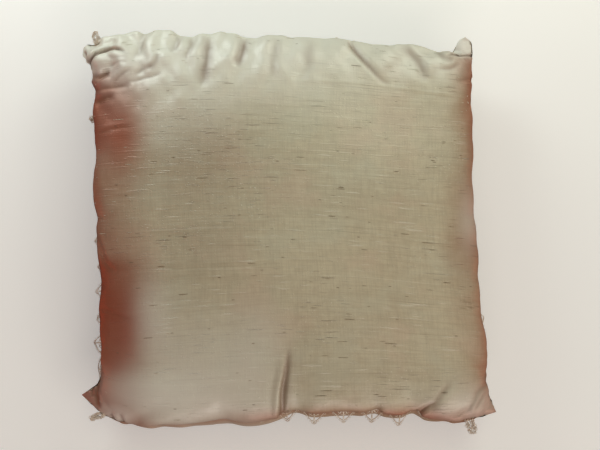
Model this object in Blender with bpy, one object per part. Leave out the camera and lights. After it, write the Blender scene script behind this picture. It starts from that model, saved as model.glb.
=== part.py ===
"""Ring bearer pillow: slub silk cover with a lace edging, muslin pad, filling and ring ribbons.

Metres, +Z up. The pillow lies on its front face, with the plain back of the cover on top.
The origin is under the middle of the pillow, on the surface that it rests on.
The seam lies in a level plane. Heights inside the pillow are measured from that plane.
"""

import math

import bmesh
import bpy

MM = 0.001

# Cover in plan. Stuffing pulls the middle of each side in, so the seam's corners stand out.
SEAM_CORNER_HALF = 98.0 * MM
SIDE_PULL = 6.0 * MM
SIDE_SWELL = 9.0 * MM
SWELL_POWER = 12

# Cover in height, from the seam's plane. FULLNESS is the power that rounds the domes.
SEAM_HEIGHT = 22.0 * MM
BACK_RISE = 32.0 * MM
FRONT_DROP = 31.0 * MM
FULLNESS = 0.38

# The tacks that hold the ribbons pull a dimple into the middle of the front.
DIMPLE_DEPTH = 3.0 * MM

# Cloth, and the gap that neighbouring pieces keep.
CLEARANCE = 0.3 * MM
SILK_THICKNESS = 0.5 * MM
SILK_ALLOWANCE = 6.0 * MM
MUSLIN_THICKNESS = 0.4 * MM
MUSLIN_ALLOWANCE = 5.0 * MM

# Lace edging, sewn into the seam with its points outwards.
LACE_THICKNESS = 0.6 * MM
LACE_REACH = 8.0 * MM
LACE_POINT_DEPTH = 4.5 * MM
LACE_REPEAT = 15.2 * MM
EYELET_HALF = 1.6 * MM

# Sewing thread. The opening that the pad went in by is closed by hand on the bottom side.
THREAD_DIAMETER = 0.5 * MM
CLOSING_START = -2.0 * MM
CLOSING_LENGTH = 46.0 * MM
STITCH_LENGTH = 3.0 * MM
STITCH_SWAY = 0.8 * MM

# Two satin ribbons that hold the rings, each tacked to the front at its middle.
RIBBON_WIDTH = 10.0 * MM
RIBBON_THICKNESS = 0.35 * MM
RIBBON_HALF_LENGTH = 62.0 * MM
RIBBON_OFFSET = 7.0 * MM
RIBBON_BOW = 18.0 * MM
RIBBON_SLANT = 4.0 * MM
PINCHED_SHARE = 0.6
PINCH_LENGTH = 7.0 * MM
TACK_OVERHANG = 1.0 * MM

# Facets
STEPS_PER_SIDE = 8
DOME_RINGS = 9
SEAM_THREAD_STEPS = 14
RIBBON_STEPS = 24
THREAD_RESOLUTION = 1

# Heights of the seam's layers, above the seam's plane on the back and below it on the front.
SILK_LIP = LACE_THICKNESS / 2 + CLEARANCE
MUSLIN_FLANGE = SILK_LIP + SILK_THICKNESS + CLEARANCE
MUSLIN_LIP = CLEARANCE / 2
FILLING_FLANGE = MUSLIN_FLANGE + MUSLIN_THICKNESS + CLEARANCE

# Insets of those layers from the seam line, in plan.
THREAD_INSET = SILK_ALLOWANCE - CLEARANCE - THREAD_DIAMETER / 2
LACE_HEADING = THREAD_INSET - THREAD_DIAMETER / 2 - CLEARANCE
MUSLIN_WALL = SILK_ALLOWANCE + CLEARANCE
MUSLIN_EDGE = MUSLIN_WALL + MUSLIN_THICKNESS + MUSLIN_ALLOWANCE
FILLING_WALL = MUSLIN_EDGE + CLEARANCE

# How far each layer's outer face lies inside the cover's.
MUSLIN_OFFSET = SILK_THICKNESS + CLEARANCE
FILLING_OFFSET = MUSLIN_OFFSET + MUSLIN_THICKNESS + CLEARANCE

# The front lies this high, flat on its ribbons.
BELLY_HEIGHT = RIBBON_THICKNESS + CLEARANCE
BELLY_DROP = SEAM_HEIGHT - BELLY_HEIGHT

BACK = 1
FRONT = -1

# An offset face needs more room where the dome leaves the seam at a low angle, as at a corner.
LEAN_MIDDLE = 1.1
LEAN_CORNER = 2.4


def clear_scene():
    """Remove the objects that the scene starts with."""
    for scene_object in list(bpy.data.objects):
        bpy.data.objects.remove(scene_object, do_unlink=True)


def material(name, colour, roughness, sheen):
    """A plain Principled material in the piece's colour."""
    made = bpy.data.materials.new(name)
    made.use_nodes = True
    shader = made.node_tree.nodes["Principled BSDF"]
    shader.inputs["Base Color"].default_value = (*colour, 1.0)
    shader.inputs["Roughness"].default_value = roughness
    shader.inputs["Metallic"].default_value = 0.0
    shader.inputs["Sheen Weight"].default_value = sheen
    return made


def silk_material(name):
    """Champagne slub silk, with a satin gleam."""
    return material(name, (0.72, 0.64, 0.50), 0.45, 0.4)


def muslin_material(name):
    """Undyed cotton muslin."""
    return material(name, (0.78, 0.74, 0.64), 0.85, 0.2)


def filling_material(name):
    """White polyester fibre."""
    return material(name, (0.86, 0.86, 0.84), 0.95, 0.5)


def lace_material(name):
    """Cream cotton bobbin lace."""
    return material(name, (0.80, 0.72, 0.58), 0.80, 0.2)


def thread_material(name):
    """Cream cotton sewing thread."""
    return material(name, (0.76, 0.68, 0.54), 0.60, 0.1)


def ribbon_material(name):
    """Ivory satin ribbon."""
    return material(name, (0.84, 0.78, 0.66), 0.30, 0.3)


def seam_edge(along):
    """Distance of the seam from the middle of the pillow, a distance `along` one of its sides."""
    share = along / SEAM_CORNER_HALF
    return SEAM_CORNER_HALF - SIDE_PULL * (1 - share**2)


def corner_inside(inset):
    """Where the lines at an inset inside two neighbouring sides' seams cross, along X and along Y."""
    corner = SEAM_CORNER_HALF
    for _ in range(20):
        corner = seam_edge(corner) - inset
    return corner


def unit_square():
    """Points around the square of half side 1, the same number on each side, closer at corners."""
    sides = []
    for step in range(STEPS_PER_SIDE):
        along = math.sin(math.pi / 2 * (2 * step / STEPS_PER_SIDE - 1))
        sides.append(((along, -1), (1, along), (-along, 1), (-1, -along)))
    return [side[quarter] for quarter in range(4) for side in sides]


def outline_point(a, b, inset, corner):
    """The place in plan of point (a, b) of the unit square, at an inset inside the seam line."""
    x = a * corner
    y = b * corner
    if abs(a) == 1:
        x = a * (seam_edge(y) - inset)
    if abs(b) == 1:
        y = b * (seam_edge(x) - inset)
    return x, y


def flat_ring(face, inset, height):
    """A ring that follows the seam at a fixed inset and a fixed height off its plane."""
    ring = []
    corner = corner_inside(inset)
    for a, b in unit_square():
        x, y = outline_point(a, b, inset, corner)
        ring.append((x, y, SEAM_HEIGHT + face * height))
    return ring


def ring_share(step):
    """How far out towards the seam a dome's ring lies, as a share. Rings crowd at the seam."""
    return math.sin(math.pi / 2 * step / DOME_RINGS)


def dimple(x, y):
    """How far the front is pulled up at a place in plan: a pyramid inside the first ring."""
    reach = ring_share(1) * seam_edge(0)
    return DIMPLE_DEPTH * max(0.0, 1 - max(abs(x), abs(y)) / reach)


def dome_height(face, offset, base, s, t):
    """Height of a dome off the seam's plane. The front is flat where it bears on its ribbons."""
    rise = BACK_RISE if face == BACK else FRONT_DROP
    shape = ((1 - s**2) * (1 - t**2)) ** FULLNESS
    height = base + (rise - offset - base) * shape
    if face == FRONT:
        height = min(height, BELLY_DROP - offset)
    return height


def swell(r):
    """Share of the side swell at a share r of the way out to the seam: none at the seam itself."""
    peak = SWELL_POWER / (SWELL_POWER + 1)
    return r**SWELL_POWER * (1 - r) / (peak**SWELL_POWER * (1 - peak))


def dome_rings(face, offset, base):
    """Rings of one domed face, from beside its middle out to the seam."""
    rings = []
    corner = corner_inside(offset * LEAN_CORNER)
    for step in range(1, DOME_RINGS + 1):
        r = ring_share(step)
        ring = []
        for a, b in unit_square():
            nearness = min(abs(a), abs(b))
            lean = LEAN_MIDDLE + (LEAN_CORNER - LEAN_MIDDLE) * nearness**4
            x, y = outline_point(a, b, offset * lean, corner)
            x = x * r + SIDE_SWELL * swell(r) * a * (1 - b**2)
            y = y * r + SIDE_SWELL * swell(r) * b * (1 - a**2)
            height = dome_height(face, offset, base, a * r, b * r)
            ring.append((x, y, SEAM_HEIGHT + face * height))
        rings.append(ring)
    return rings


def dome_middle(face, offset, base):
    """The point at the middle of a domed face."""
    height = dome_height(face, offset, base, 0, 0)
    if face == FRONT:
        height -= dimple(0, 0)
    return (0.0, 0.0, SEAM_HEIGHT + face * height)


def loft(name, first, rings, last):
    """A closed mesh through the rings, closed by a fan to a point at each end."""
    bm = bmesh.new()
    loops = [[bm.verts.new(point) for point in ring] for ring in rings]
    count = len(loops[0])
    for near, far in zip(loops, loops[1:]):
        for i in range(count):
            j = (i + 1) % count
            bm.faces.new((near[i], near[j], far[j], far[i]))
    for point, loop in ((first, loops[0]), (last, loops[-1])):
        apex = bm.verts.new(point)
        for i in range(count):
            bm.faces.new((loop[i], loop[(i + 1) % count], apex))
    # Nested layers split their quads along the same diagonals, so that their facets stay parallel.
    bmesh.ops.triangulate(bm, faces=bm.faces, quad_method="SHORT_EDGE")
    bmesh.ops.recalc_face_normals(bm, faces=bm.faces)
    mesh = bpy.data.meshes.new(name)
    bm.to_mesh(mesh)
    bm.free()
    mesh.shade_smooth()
    mesh.set_sharp_from_angle(angle=math.radians(40))
    return mesh


def add_object(name, data, made_material, parent):
    """Place a mesh or a curve in the scene under the pillow's empty."""
    data.materials.append(made_material)
    made = bpy.data.objects.new(name, data)
    bpy.context.collection.objects.link(made)
    made.parent = parent
    return made


def cover_panel(name, face, parent):
    """One silk panel: a dome whose seam allowance turns in over the lace heading."""
    inner_base = SILK_LIP + SILK_THICKNESS
    rings = dome_rings(face, 0.0, SILK_LIP)
    rings.append(flat_ring(face, SILK_ALLOWANCE, SILK_LIP))
    rings.append(flat_ring(face, SILK_ALLOWANCE, inner_base))
    rings += reversed(dome_rings(face, SILK_THICKNESS, inner_base))
    outer_middle = dome_middle(face, 0.0, SILK_LIP)
    inner_middle = dome_middle(face, SILK_THICKNESS, inner_base)
    mesh = loft(name, outer_middle, rings, inner_middle)
    return add_object(name, mesh, silk_material(name + "_silk"), parent)


def liner_half(name, face, parent):
    """One half of the muslin pad. It wraps round the silk's seam allowance to its own seam."""
    inner_offset = MUSLIN_OFFSET + MUSLIN_THICKNESS
    inner_flange = MUSLIN_FLANGE + MUSLIN_THICKNESS
    inner_wall = MUSLIN_WALL + MUSLIN_THICKNESS
    inner_lip = MUSLIN_LIP + MUSLIN_THICKNESS
    rings = dome_rings(face, MUSLIN_OFFSET, MUSLIN_FLANGE)
    rings.append(flat_ring(face, MUSLIN_WALL, MUSLIN_FLANGE))
    rings.append(flat_ring(face, MUSLIN_WALL, MUSLIN_LIP))
    rings.append(flat_ring(face, MUSLIN_EDGE, MUSLIN_LIP))
    rings.append(flat_ring(face, MUSLIN_EDGE, inner_lip))
    rings.append(flat_ring(face, inner_wall, inner_lip))
    rings.append(flat_ring(face, inner_wall, inner_flange))
    rings += reversed(dome_rings(face, inner_offset, inner_flange))
    outer_middle = dome_middle(face, MUSLIN_OFFSET, MUSLIN_FLANGE)
    inner_middle = dome_middle(face, inner_offset, inner_flange)
    mesh = loft(name, outer_middle, rings, inner_middle)
    return add_object(name, mesh, muslin_material(name + "_muslin"), parent)


def filling(name, parent):
    """The stuffing: both domes in one body, with a waist that clears the muslin's seam."""
    rings = dome_rings(BACK, FILLING_OFFSET, FILLING_FLANGE)
    rings.append(flat_ring(BACK, FILLING_WALL, FILLING_FLANGE))
    rings.append(flat_ring(FRONT, FILLING_WALL, FILLING_FLANGE))
    rings += reversed(dome_rings(FRONT, FILLING_OFFSET, FILLING_FLANGE))
    back_middle = dome_middle(BACK, FILLING_OFFSET, FILLING_FLANGE)
    front_middle = dome_middle(FRONT, FILLING_OFFSET, FILLING_FLANGE)
    mesh = loft(name, back_middle, rings, front_middle)
    return add_object(name, mesh, filling_material(name + "_fibre"), parent)


def lace_strip_mesh(name, half_length):
    """A run of lace along +Y's side: a heading in the seam, then points with an eyelet each."""
    count = round(2 * half_length / LACE_REPEAT)
    pitch = 2 * half_length / count
    valley = LACE_REACH - LACE_POINT_DEPTH
    bm = bmesh.new()

    def vertex(x, out):
        return bm.verts.new((x, seam_edge(x) + out, SEAM_HEIGHT))

    heading = vertex(-half_length, -LACE_HEADING)
    dip = vertex(-half_length, valley)
    for repeat in range(count):
        middle = -half_length + pitch * (repeat + 0.5)
        end = middle + pitch / 2
        heading_middle = vertex(middle, -LACE_HEADING)
        heading_end = vertex(end, -LACE_HEADING)
        dip_end = vertex(end, valley)
        tip = vertex(middle, LACE_REACH)
        eye_left = vertex(middle - EYELET_HALF, valley)
        eye_right = vertex(middle + EYELET_HALF, valley)
        eye_near = vertex(middle, valley - EYELET_HALF)
        eye_far = vertex(middle, valley + EYELET_HALF)
        bm.faces.new((heading, heading_middle, eye_near, eye_left, dip))
        bm.faces.new((heading_middle, heading_end, dip_end, eye_right, eye_near))
        bm.faces.new((dip, eye_left, eye_far, tip))
        bm.faces.new((dip_end, tip, eye_far, eye_right))
        heading = heading_end
        dip = dip_end
    mesh = bpy.data.meshes.new(name)
    bm.to_mesh(mesh)
    bm.free()
    return mesh


def lace_strip(name, half_length, turn, parent):
    """One run of lace, turned about +Z to its own side of the pillow."""
    made_material = lace_material(name + "_cotton")
    made = add_object(name, lace_strip_mesh(name, half_length), made_material, parent)
    made.rotation_euler = (0.0, 0.0, turn)
    solidify = made.modifiers.new("thickness", "SOLIDIFY")
    solidify.thickness = LACE_THICKNESS
    solidify.offset = 0.0
    return made


def lace_edging(parent):
    """Four runs of lace. The side runs stop short of the top and bottom runs' headings."""
    side_half = corner_inside(LACE_HEADING) - CLEARANCE
    lace_strip("lace_top", SEAM_CORNER_HALF, 0.0, parent)
    lace_strip("lace_bottom", SEAM_CORNER_HALF, math.pi, parent)
    lace_strip("lace_left", side_half, math.pi / 2, parent)
    lace_strip("lace_right", side_half, -math.pi / 2, parent)


def thread(name, points, parent):
    """A length of sewing thread through a list of points."""
    curve = bpy.data.curves.new(name, "CURVE")
    curve.dimensions = "3D"
    curve.bevel_depth = THREAD_DIAMETER / 2
    curve.bevel_resolution = THREAD_RESOLUTION
    curve.use_fill_caps = True
    spline = curve.splines.new("POLY")
    spline.points.add(len(points) - 1)
    for spline_point, point in zip(spline.points, points):
        spline_point.co = (*point, 1.0)
    return add_object(name, curve, thread_material(name + "_cotton"), parent)


def seam_thread(parent):
    """The cover's machine seam, beside the lace heading. It is open where the hand stitches are."""
    corner = corner_inside(THREAD_INSET)
    closing_end = CLOSING_START + CLOSING_LENGTH

    def run(start, end):
        """Places along one side, from start up to but not including end."""
        steps = max(2, round(SEAM_THREAD_STEPS * abs(end - start) / (2 * corner)))
        return [start + (end - start) * i / steps for i in range(steps)]

    def inside(along):
        return seam_edge(along) - THREAD_INSET

    path = [(x, -inside(x)) for x in run(closing_end, corner)]
    path += [(inside(y), y) for y in run(-corner, corner)]
    path += [(x, inside(x)) for x in run(corner, -corner)]
    path += [(-inside(y), y) for y in run(corner, -corner)]
    path += [(x, -inside(x)) for x in run(-corner, CLOSING_START)]
    path.append((CLOSING_START, -inside(CLOSING_START)))
    return thread("seam_thread", [(x, y, SEAM_HEIGHT) for x, y in path], parent)


def closing_thread(parent):
    """Hand stitches that close the bottom side, under the lace and against the front panel."""
    count = round(CLOSING_LENGTH / STITCH_LENGTH)
    drop = LACE_THICKNESS / 2 + CLEARANCE + THREAD_DIAMETER / 2
    nearest = 2 * CLEARANCE + THREAD_DIAMETER / 2
    points = []
    for i in range(count + 1):
        x = CLOSING_START + CLOSING_LENGTH * i / count
        out = nearest + STITCH_SWAY * (i % 2)
        points.append((x, -seam_edge(x) - out, SEAM_HEIGHT - drop))
    return thread("closing_thread", points, parent)


def belly_height(x, y):
    """Height of the front face over the surface, where it is flat or dimpled."""
    return BELLY_HEIGHT + dimple(x, y)


def ribbon_mesh(name):
    """The ribbon on +X's side: bowed outwards, pinched at its tack and cut slantwise at its ends."""
    bm = bmesh.new()
    rows = []
    for i in range(RIBBON_STEPS + 1):
        share = 2 * i / RIBBON_STEPS - 1
        y = RIBBON_HALF_LENGTH * share
        middle = RIBBON_OFFSET + RIBBON_BOW * share**2
        pinch = (1 - PINCHED_SHARE) * math.exp(-((y / PINCH_LENGTH) ** 2))
        half_width = RIBBON_WIDTH / 2 * (1 - pinch)
        row = []
        for across in (-1, 0, 1):
            x = middle + across * half_width
            row_y = y + across * RIBBON_SLANT / 2 * share
            under = belly_height(x, row_y) - CLEARANCE - RIBBON_THICKNESS
            row.append((x, row_y, under))
        top = [(x, row_y, under + RIBBON_THICKNESS) for x, row_y, under in reversed(row)]
        rows.append([bm.verts.new(point) for point in row + top])
    for near, far in zip(rows, rows[1:]):
        for i in range(len(near)):
            j = (i + 1) % len(near)
            bm.faces.new((near[i], near[j], far[j], far[i]))
    for row in (rows[0], rows[-1]):
        bm.faces.new((row[0], row[1], row[4], row[5]))
        bm.faces.new((row[1], row[2], row[3], row[4]))
    bmesh.ops.recalc_face_normals(bm, faces=bm.faces)
    mesh = bpy.data.meshes.new(name)
    bm.to_mesh(mesh)
    bm.free()
    return mesh


def ring_ribbon(name, turn, parent):
    """One ribbon, laid out on the front face."""
    made = add_object(name, ribbon_mesh(name), ribbon_material(name + "_satin"), parent)
    made.rotation_euler = (0.0, 0.0, turn)
    return made


def ribbon_tack(name, turn, parent):
    """The bar of thread that holds a ribbon's pinched middle to the front panel."""
    half_width = RIBBON_WIDTH / 2 * PINCHED_SHARE
    radius = THREAD_DIAMETER / 2
    under_ribbon = CLEARANCE + RIBBON_THICKNESS + CLEARANCE + radius
    near_panel = CLEARANCE + radius
    step = half_width / 2
    stations = [(-half_width - TACK_OVERHANG, near_panel)]
    stations += [(-half_width - TACK_OVERHANG / 4, under_ribbon)]
    stations += [(step * i, under_ribbon) for i in (-1, 0, 1)]
    stations += [(half_width + TACK_OVERHANG / 4, under_ribbon)]
    stations += [(half_width + TACK_OVERHANG, near_panel)]
    points = []
    for across, below in stations:
        x = RIBBON_OFFSET + across
        points.append((x, 0.0, belly_height(x, 0.0) - below))
    made = thread(name, points, parent)
    made.rotation_euler = (0.0, 0.0, turn)
    return made


def build():
    """Make every piece of the pillow."""
    clear_scene()
    pillow = bpy.data.objects.new("pillow", None)
    bpy.context.collection.objects.link(pillow)
    cover_panel("back_panel", BACK, pillow)
    cover_panel("front_panel", FRONT, pillow)
    liner_half("liner_back", BACK, pillow)
    liner_half("liner_front", FRONT, pillow)
    filling("filling", pillow)
    lace_edging(pillow)
    seam_thread(pillow)
    closing_thread(pillow)
    for side, turn in (("right", 0.0), ("left", math.pi)):
        ring_ribbon("ring_ribbon_" + side, turn, pillow)
        ribbon_tack("ribbon_tack_" + side, turn, pillow)


build()
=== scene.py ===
"""Looks of the ring bearer pillow: slub silk cover, bobbin lace edging, ribbons, pad and stitches."""

import math
from collections import namedtuple

import bpy
import numpy as np
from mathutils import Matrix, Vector


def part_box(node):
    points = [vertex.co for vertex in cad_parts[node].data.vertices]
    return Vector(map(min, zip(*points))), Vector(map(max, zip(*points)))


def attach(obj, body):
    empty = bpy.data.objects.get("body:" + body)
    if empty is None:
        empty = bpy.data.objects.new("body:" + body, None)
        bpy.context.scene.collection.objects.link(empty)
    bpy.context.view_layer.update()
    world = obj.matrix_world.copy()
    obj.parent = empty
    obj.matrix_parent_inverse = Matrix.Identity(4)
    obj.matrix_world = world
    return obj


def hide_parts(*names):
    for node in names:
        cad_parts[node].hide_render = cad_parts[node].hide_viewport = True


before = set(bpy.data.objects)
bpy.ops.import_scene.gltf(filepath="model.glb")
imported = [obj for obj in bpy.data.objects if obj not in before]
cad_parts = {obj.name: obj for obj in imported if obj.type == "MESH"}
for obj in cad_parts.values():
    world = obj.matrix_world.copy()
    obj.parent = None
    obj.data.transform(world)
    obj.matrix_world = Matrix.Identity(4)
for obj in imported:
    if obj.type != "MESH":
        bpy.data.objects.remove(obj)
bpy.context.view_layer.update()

MM = 0.001


def add_object(name, data):
    """A new object of a mesh, a camera or a light."""
    made = bpy.data.objects.new(name, data)
    bpy.context.collection.objects.link(made)
    return made


def look_along(made, direction):
    """Turn a camera or a light to look along a direction."""
    made.rotation_mode = "QUATERNION"
    made.rotation_quaternion = direction.to_track_quat("-Z", "Y")


def keep(piece, node=None):
    """Let a piece ride on the pillow and the CAD node that it replaces."""
    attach(piece, "root")
    if node:
        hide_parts(node)


# ---------------------------------------------------------------- sizes read from the frame

# Shapes are worked out in millimetres, and turned into metres when a mesh is made.

LACE_LOW, LACE_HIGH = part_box("lace_bottom")
SEAM_Z = (LACE_LOW[2] + LACE_HIGH[2]) / 2 / MM
CROWN_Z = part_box("back_panel")[1][2] / MM
BELLY_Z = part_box("front_panel")[0][2] / MM
CROWN_ROOM = 2.0
CROWN_RISE = CROWN_Z - SEAM_Z - CROWN_ROOM
FRONT_DROP = 31.0

# ---------------------------------------------------------------- camera, floor and light

CAMERA_ELEVATION = math.radians(79.0)
CAMERA_DISTANCE = 1.0
CAMERA_TARGET = Vector((6.0, 3.5, 24.0)) * MM
FRAME_WIDTH = 306.0 * MM
SENSOR_WIDTH = 36.0
FLOOR_REACH = 3.0
FLOOR_GAP = 0.2 * MM
LIGHT_TARGET = Vector((0.0, 0.0, 20.0)) * MM


def make_camera():
    """A long lens nearly overhead, from the hand-closed side of the pillow."""
    data = bpy.data.cameras.new("camera")
    data.sensor_width = SENSOR_WIDTH
    data.lens = SENSOR_WIDTH * CAMERA_DISTANCE / FRAME_WIDTH
    data.clip_start = CAMERA_DISTANCE / 20
    camera = add_object("camera", data)
    back = Vector((0.0, -math.cos(CAMERA_ELEVATION), math.sin(CAMERA_ELEVATION)))
    camera.location = CAMERA_TARGET + back * CAMERA_DISTANCE
    look_along(camera, -back)
    bpy.context.scene.camera = camera


def make_floor():
    """A pale matt sweep."""
    mesh = bpy.data.meshes.new("floor")
    corners = [(x * FLOOR_REACH, y * FLOOR_REACH, 0) for x, y in ((-1, -1), (1, -1), (1, 1), (-1, 1))]
    mesh.from_pydata(corners, [], [(0, 1, 2, 3)])
    floor = add_object("floor", mesh)
    floor.location.z = -FLOOR_GAP
    paper = {
        "Base Color": (0.90, 0.89, 0.88, 1.0), "Roughness": 0.9,
        "Emission Color": (1.0, 0.97, 0.97, 1.0), "Emission Strength": 0.22,
    }
    mesh.materials.append(new_material("floor_paper", paper)[0])
    floor.visible_diffuse = False
    floor.visible_glossy = False


def area_light(name, place, size, watts):
    """A square soft light turned to the pillow; watts are given for red, green and blue."""
    data = bpy.data.lights.new(name, "AREA")
    data.shape = "SQUARE"
    data.size = size
    data.energy = max(watts)
    data.color = [value / max(watts) for value in watts]
    light = add_object(name, data)
    light.location = place
    look_along(light, LIGHT_TARGET - Vector(place))
    light.visible_camera = False


# Name, place in metres, size, and watts of red, green and blue.
LIGHTS = (
    ("far_left", (-0.19, 0.32, 0.18), 0.18, (0.48, 0.53, 0.50)),
    ("far_right", (0.18, 0.31, 0.22), 0.20, (0.37, 0.40, 0.34)),
    ("overhead", (0.30, 0.05, 1.40), 0.90, (1.6, 1.57, 1.12)),
    ("near_fill", (0.10, -1.10, 0.55), 0.50, (2.9, 2.6, 2.5)),
    ("right_fill", (0.70, -0.80, 0.60), 0.70, (3.6, 3.3, 2.8)),
    ("left_bounce", (-0.70, -0.10, 0.10), 0.30, (0.45, 0.10, 0.05)),
    ("right_bounce", (0.80, 0.00, 0.10), 0.30, (0.4, 0.14, 0.09)),
)


def make_lights():
    """Cool soft light from past the far side, a warmer fill, and weak red-brown bounce from the sides."""
    for light in LIGHTS:
        area_light(*light)
    world = bpy.data.worlds.new("world")
    world.use_nodes = True
    background = world.node_tree.nodes["Background"]
    background.inputs["Color"].default_value = (1.0, 0.90, 0.82, 1.0)
    background.inputs["Strength"].default_value = 0.12
    bpy.context.scene.world = world
    bpy.context.scene.view_settings.view_transform = "Standard"


# ---------------------------------------------------------------- node helpers


def new_material(name, values):
    """A material with values set on its shader's sockets, and the helper that adds its nodes."""
    material = bpy.data.materials.new(name)
    material.use_nodes = True
    nodes = Nodes(material)
    for socket, value in values.items():
        nodes.shader.inputs[socket].default_value = value
    return material, nodes


class Nodes:
    """Adds and links the nodes of one material."""

    def __init__(self, material):
        self.tree = material.node_tree
        self.shader = self.tree.nodes["Principled BSDF"]

    def add(self, kind, **values):
        """A node of a kind, with its settings."""
        node = self.tree.nodes.new(kind)
        for key, value in values.items():
            setattr(node, key, value)
        return node

    def link(self, source, target):
        """Link an output socket to an input socket."""
        self.tree.links.new(source, target)

    def put(self, value, socket):
        """Give an input socket a number, a colour or another node's output."""
        if isinstance(value, (int, float)):
            socket.default_value = value
        elif isinstance(value, tuple):
            socket.default_value = (*value, 1.0)
        else:
            self.link(value, socket)

    def place(self):
        """Where a point of the piece is, in metres."""
        return self.add("ShaderNodeTexCoord").outputs["Object"]

    def cloth(self):
        """The cloth's own coordinates, in metres: the weft runs along the first."""
        return self.add("ShaderNodeUVMap", uv_map="cloth").outputs["UV"]

    def mark(self, name):
        """How much of a painted mark each point of the cloth has: painted shade in some marks, painted light
        in one.
        """
        return self.add("ShaderNodeAttribute", attribute_name=name).outputs["Fac"]

    def parts(self, vector):
        """A vector's three numbers."""
        node = self.add("ShaderNodeSeparateXYZ")
        self.link(vector, node.inputs[0])
        return node.outputs

    def moved(self, operation, vector, factors):
        """A vector with one number per axis added to it, or multiplied with it."""
        node = self.add("ShaderNodeVectorMath", operation=operation)
        self.link(vector, node.inputs[0])
        node.inputs[1].default_value = factors
        return node.outputs[0]

    def shifted(self, vector, distance):
        """A vector moved along each axis, so that a noise there is another one."""
        return self.moved("ADD", vector, (distance, distance, distance))

    def noise(self, vector, scale, detail=2.0, roughness=0.5):
        """A noise value between 0 and 1, stretched by a factor per axis."""
        node = self.add("ShaderNodeTexNoise")
        self.link(self.moved("MULTIPLY", vector, scale), node.inputs["Vector"])
        for name, value in (("Scale", 1.0), ("Detail", detail), ("Roughness", roughness)):
            node.inputs[name].default_value = value
        return node.outputs["Fac"]

    def span(self, value, low, high, to_low=0.0, to_high=1.0):
        """A value's range stretched to another, smoothly."""
        node = self.add("ShaderNodeMapRange", interpolation_type="SMOOTHSTEP")
        self.link(value, node.inputs["Value"])
        for name, end in (("From Min", low), ("From Max", high), ("To Min", to_low), ("To Max", to_high)):
            node.inputs[name].default_value = end
        return node.outputs["Result"]

    def math(self, operation, first, second):
        """One arithmetic step between sockets or numbers."""
        node = self.add("ShaderNodeMath", operation=operation)
        for socket, value in zip(node.inputs, (first, second)):
            self.put(value, socket)
        return node.outputs[0]

    def product(self, first, *others):
        """A product of sockets or numbers."""
        for other in others:
            first = self.math("MULTIPLY", first, other)
        return first

    def greatest(self, first, *others):
        """The greatest of sockets or numbers."""
        for other in others:
            first = self.math("MAXIMUM", first, other)
        return first

    def total(self, first, *others):
        """A sum of values, each given with its weight."""
        total = self.product(*first)
        for other in others:
            total = self.math("ADD", total, self.product(*other))
        return total

    def mix(self, factor, first, second):
        """A colour between two, each a socket or a colour."""
        node = self.add("ShaderNodeMix", data_type="RGBA")
        self.link(factor, node.inputs[0])
        self.put(first, node.inputs[6])
        self.put(second, node.inputs[7])
        return node.outputs[2]

    def toned(self, base, *tones):
        """A colour with others over it: value, where the tone starts, where it is full, how much, colour."""
        for value, start, full, most, colour in tones:
            base = self.mix(self.span(value, start, full, 0.0, most), base, colour)
        return base

    def covered(self, base, *covers):
        """A colour with others over it: how much, a factor for that, colour."""
        for amount, most, colour in covers:
            base = self.mix(self.math("MULTIPLY", amount, most), base, colour)
        return base

    def dress(self, base, height, distance, roughness=None):
        """Give the shader a colour, a bump of a height in metres, and an uneven roughness if there is one."""
        node = self.add("ShaderNodeBump")
        self.link(height, node.inputs["Height"])
        node.inputs["Distance"].default_value = distance
        node.inputs["Strength"].default_value = 1.0
        self.link(base, self.shader.inputs["Base Color"])
        self.link(node.outputs["Normal"], self.shader.inputs["Normal"])
        if roughness is not None:
            self.link(roughness, self.shader.inputs["Roughness"])


# ---------------------------------------------------------------- materials

WEFT_DRIFT = 0.003


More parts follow.
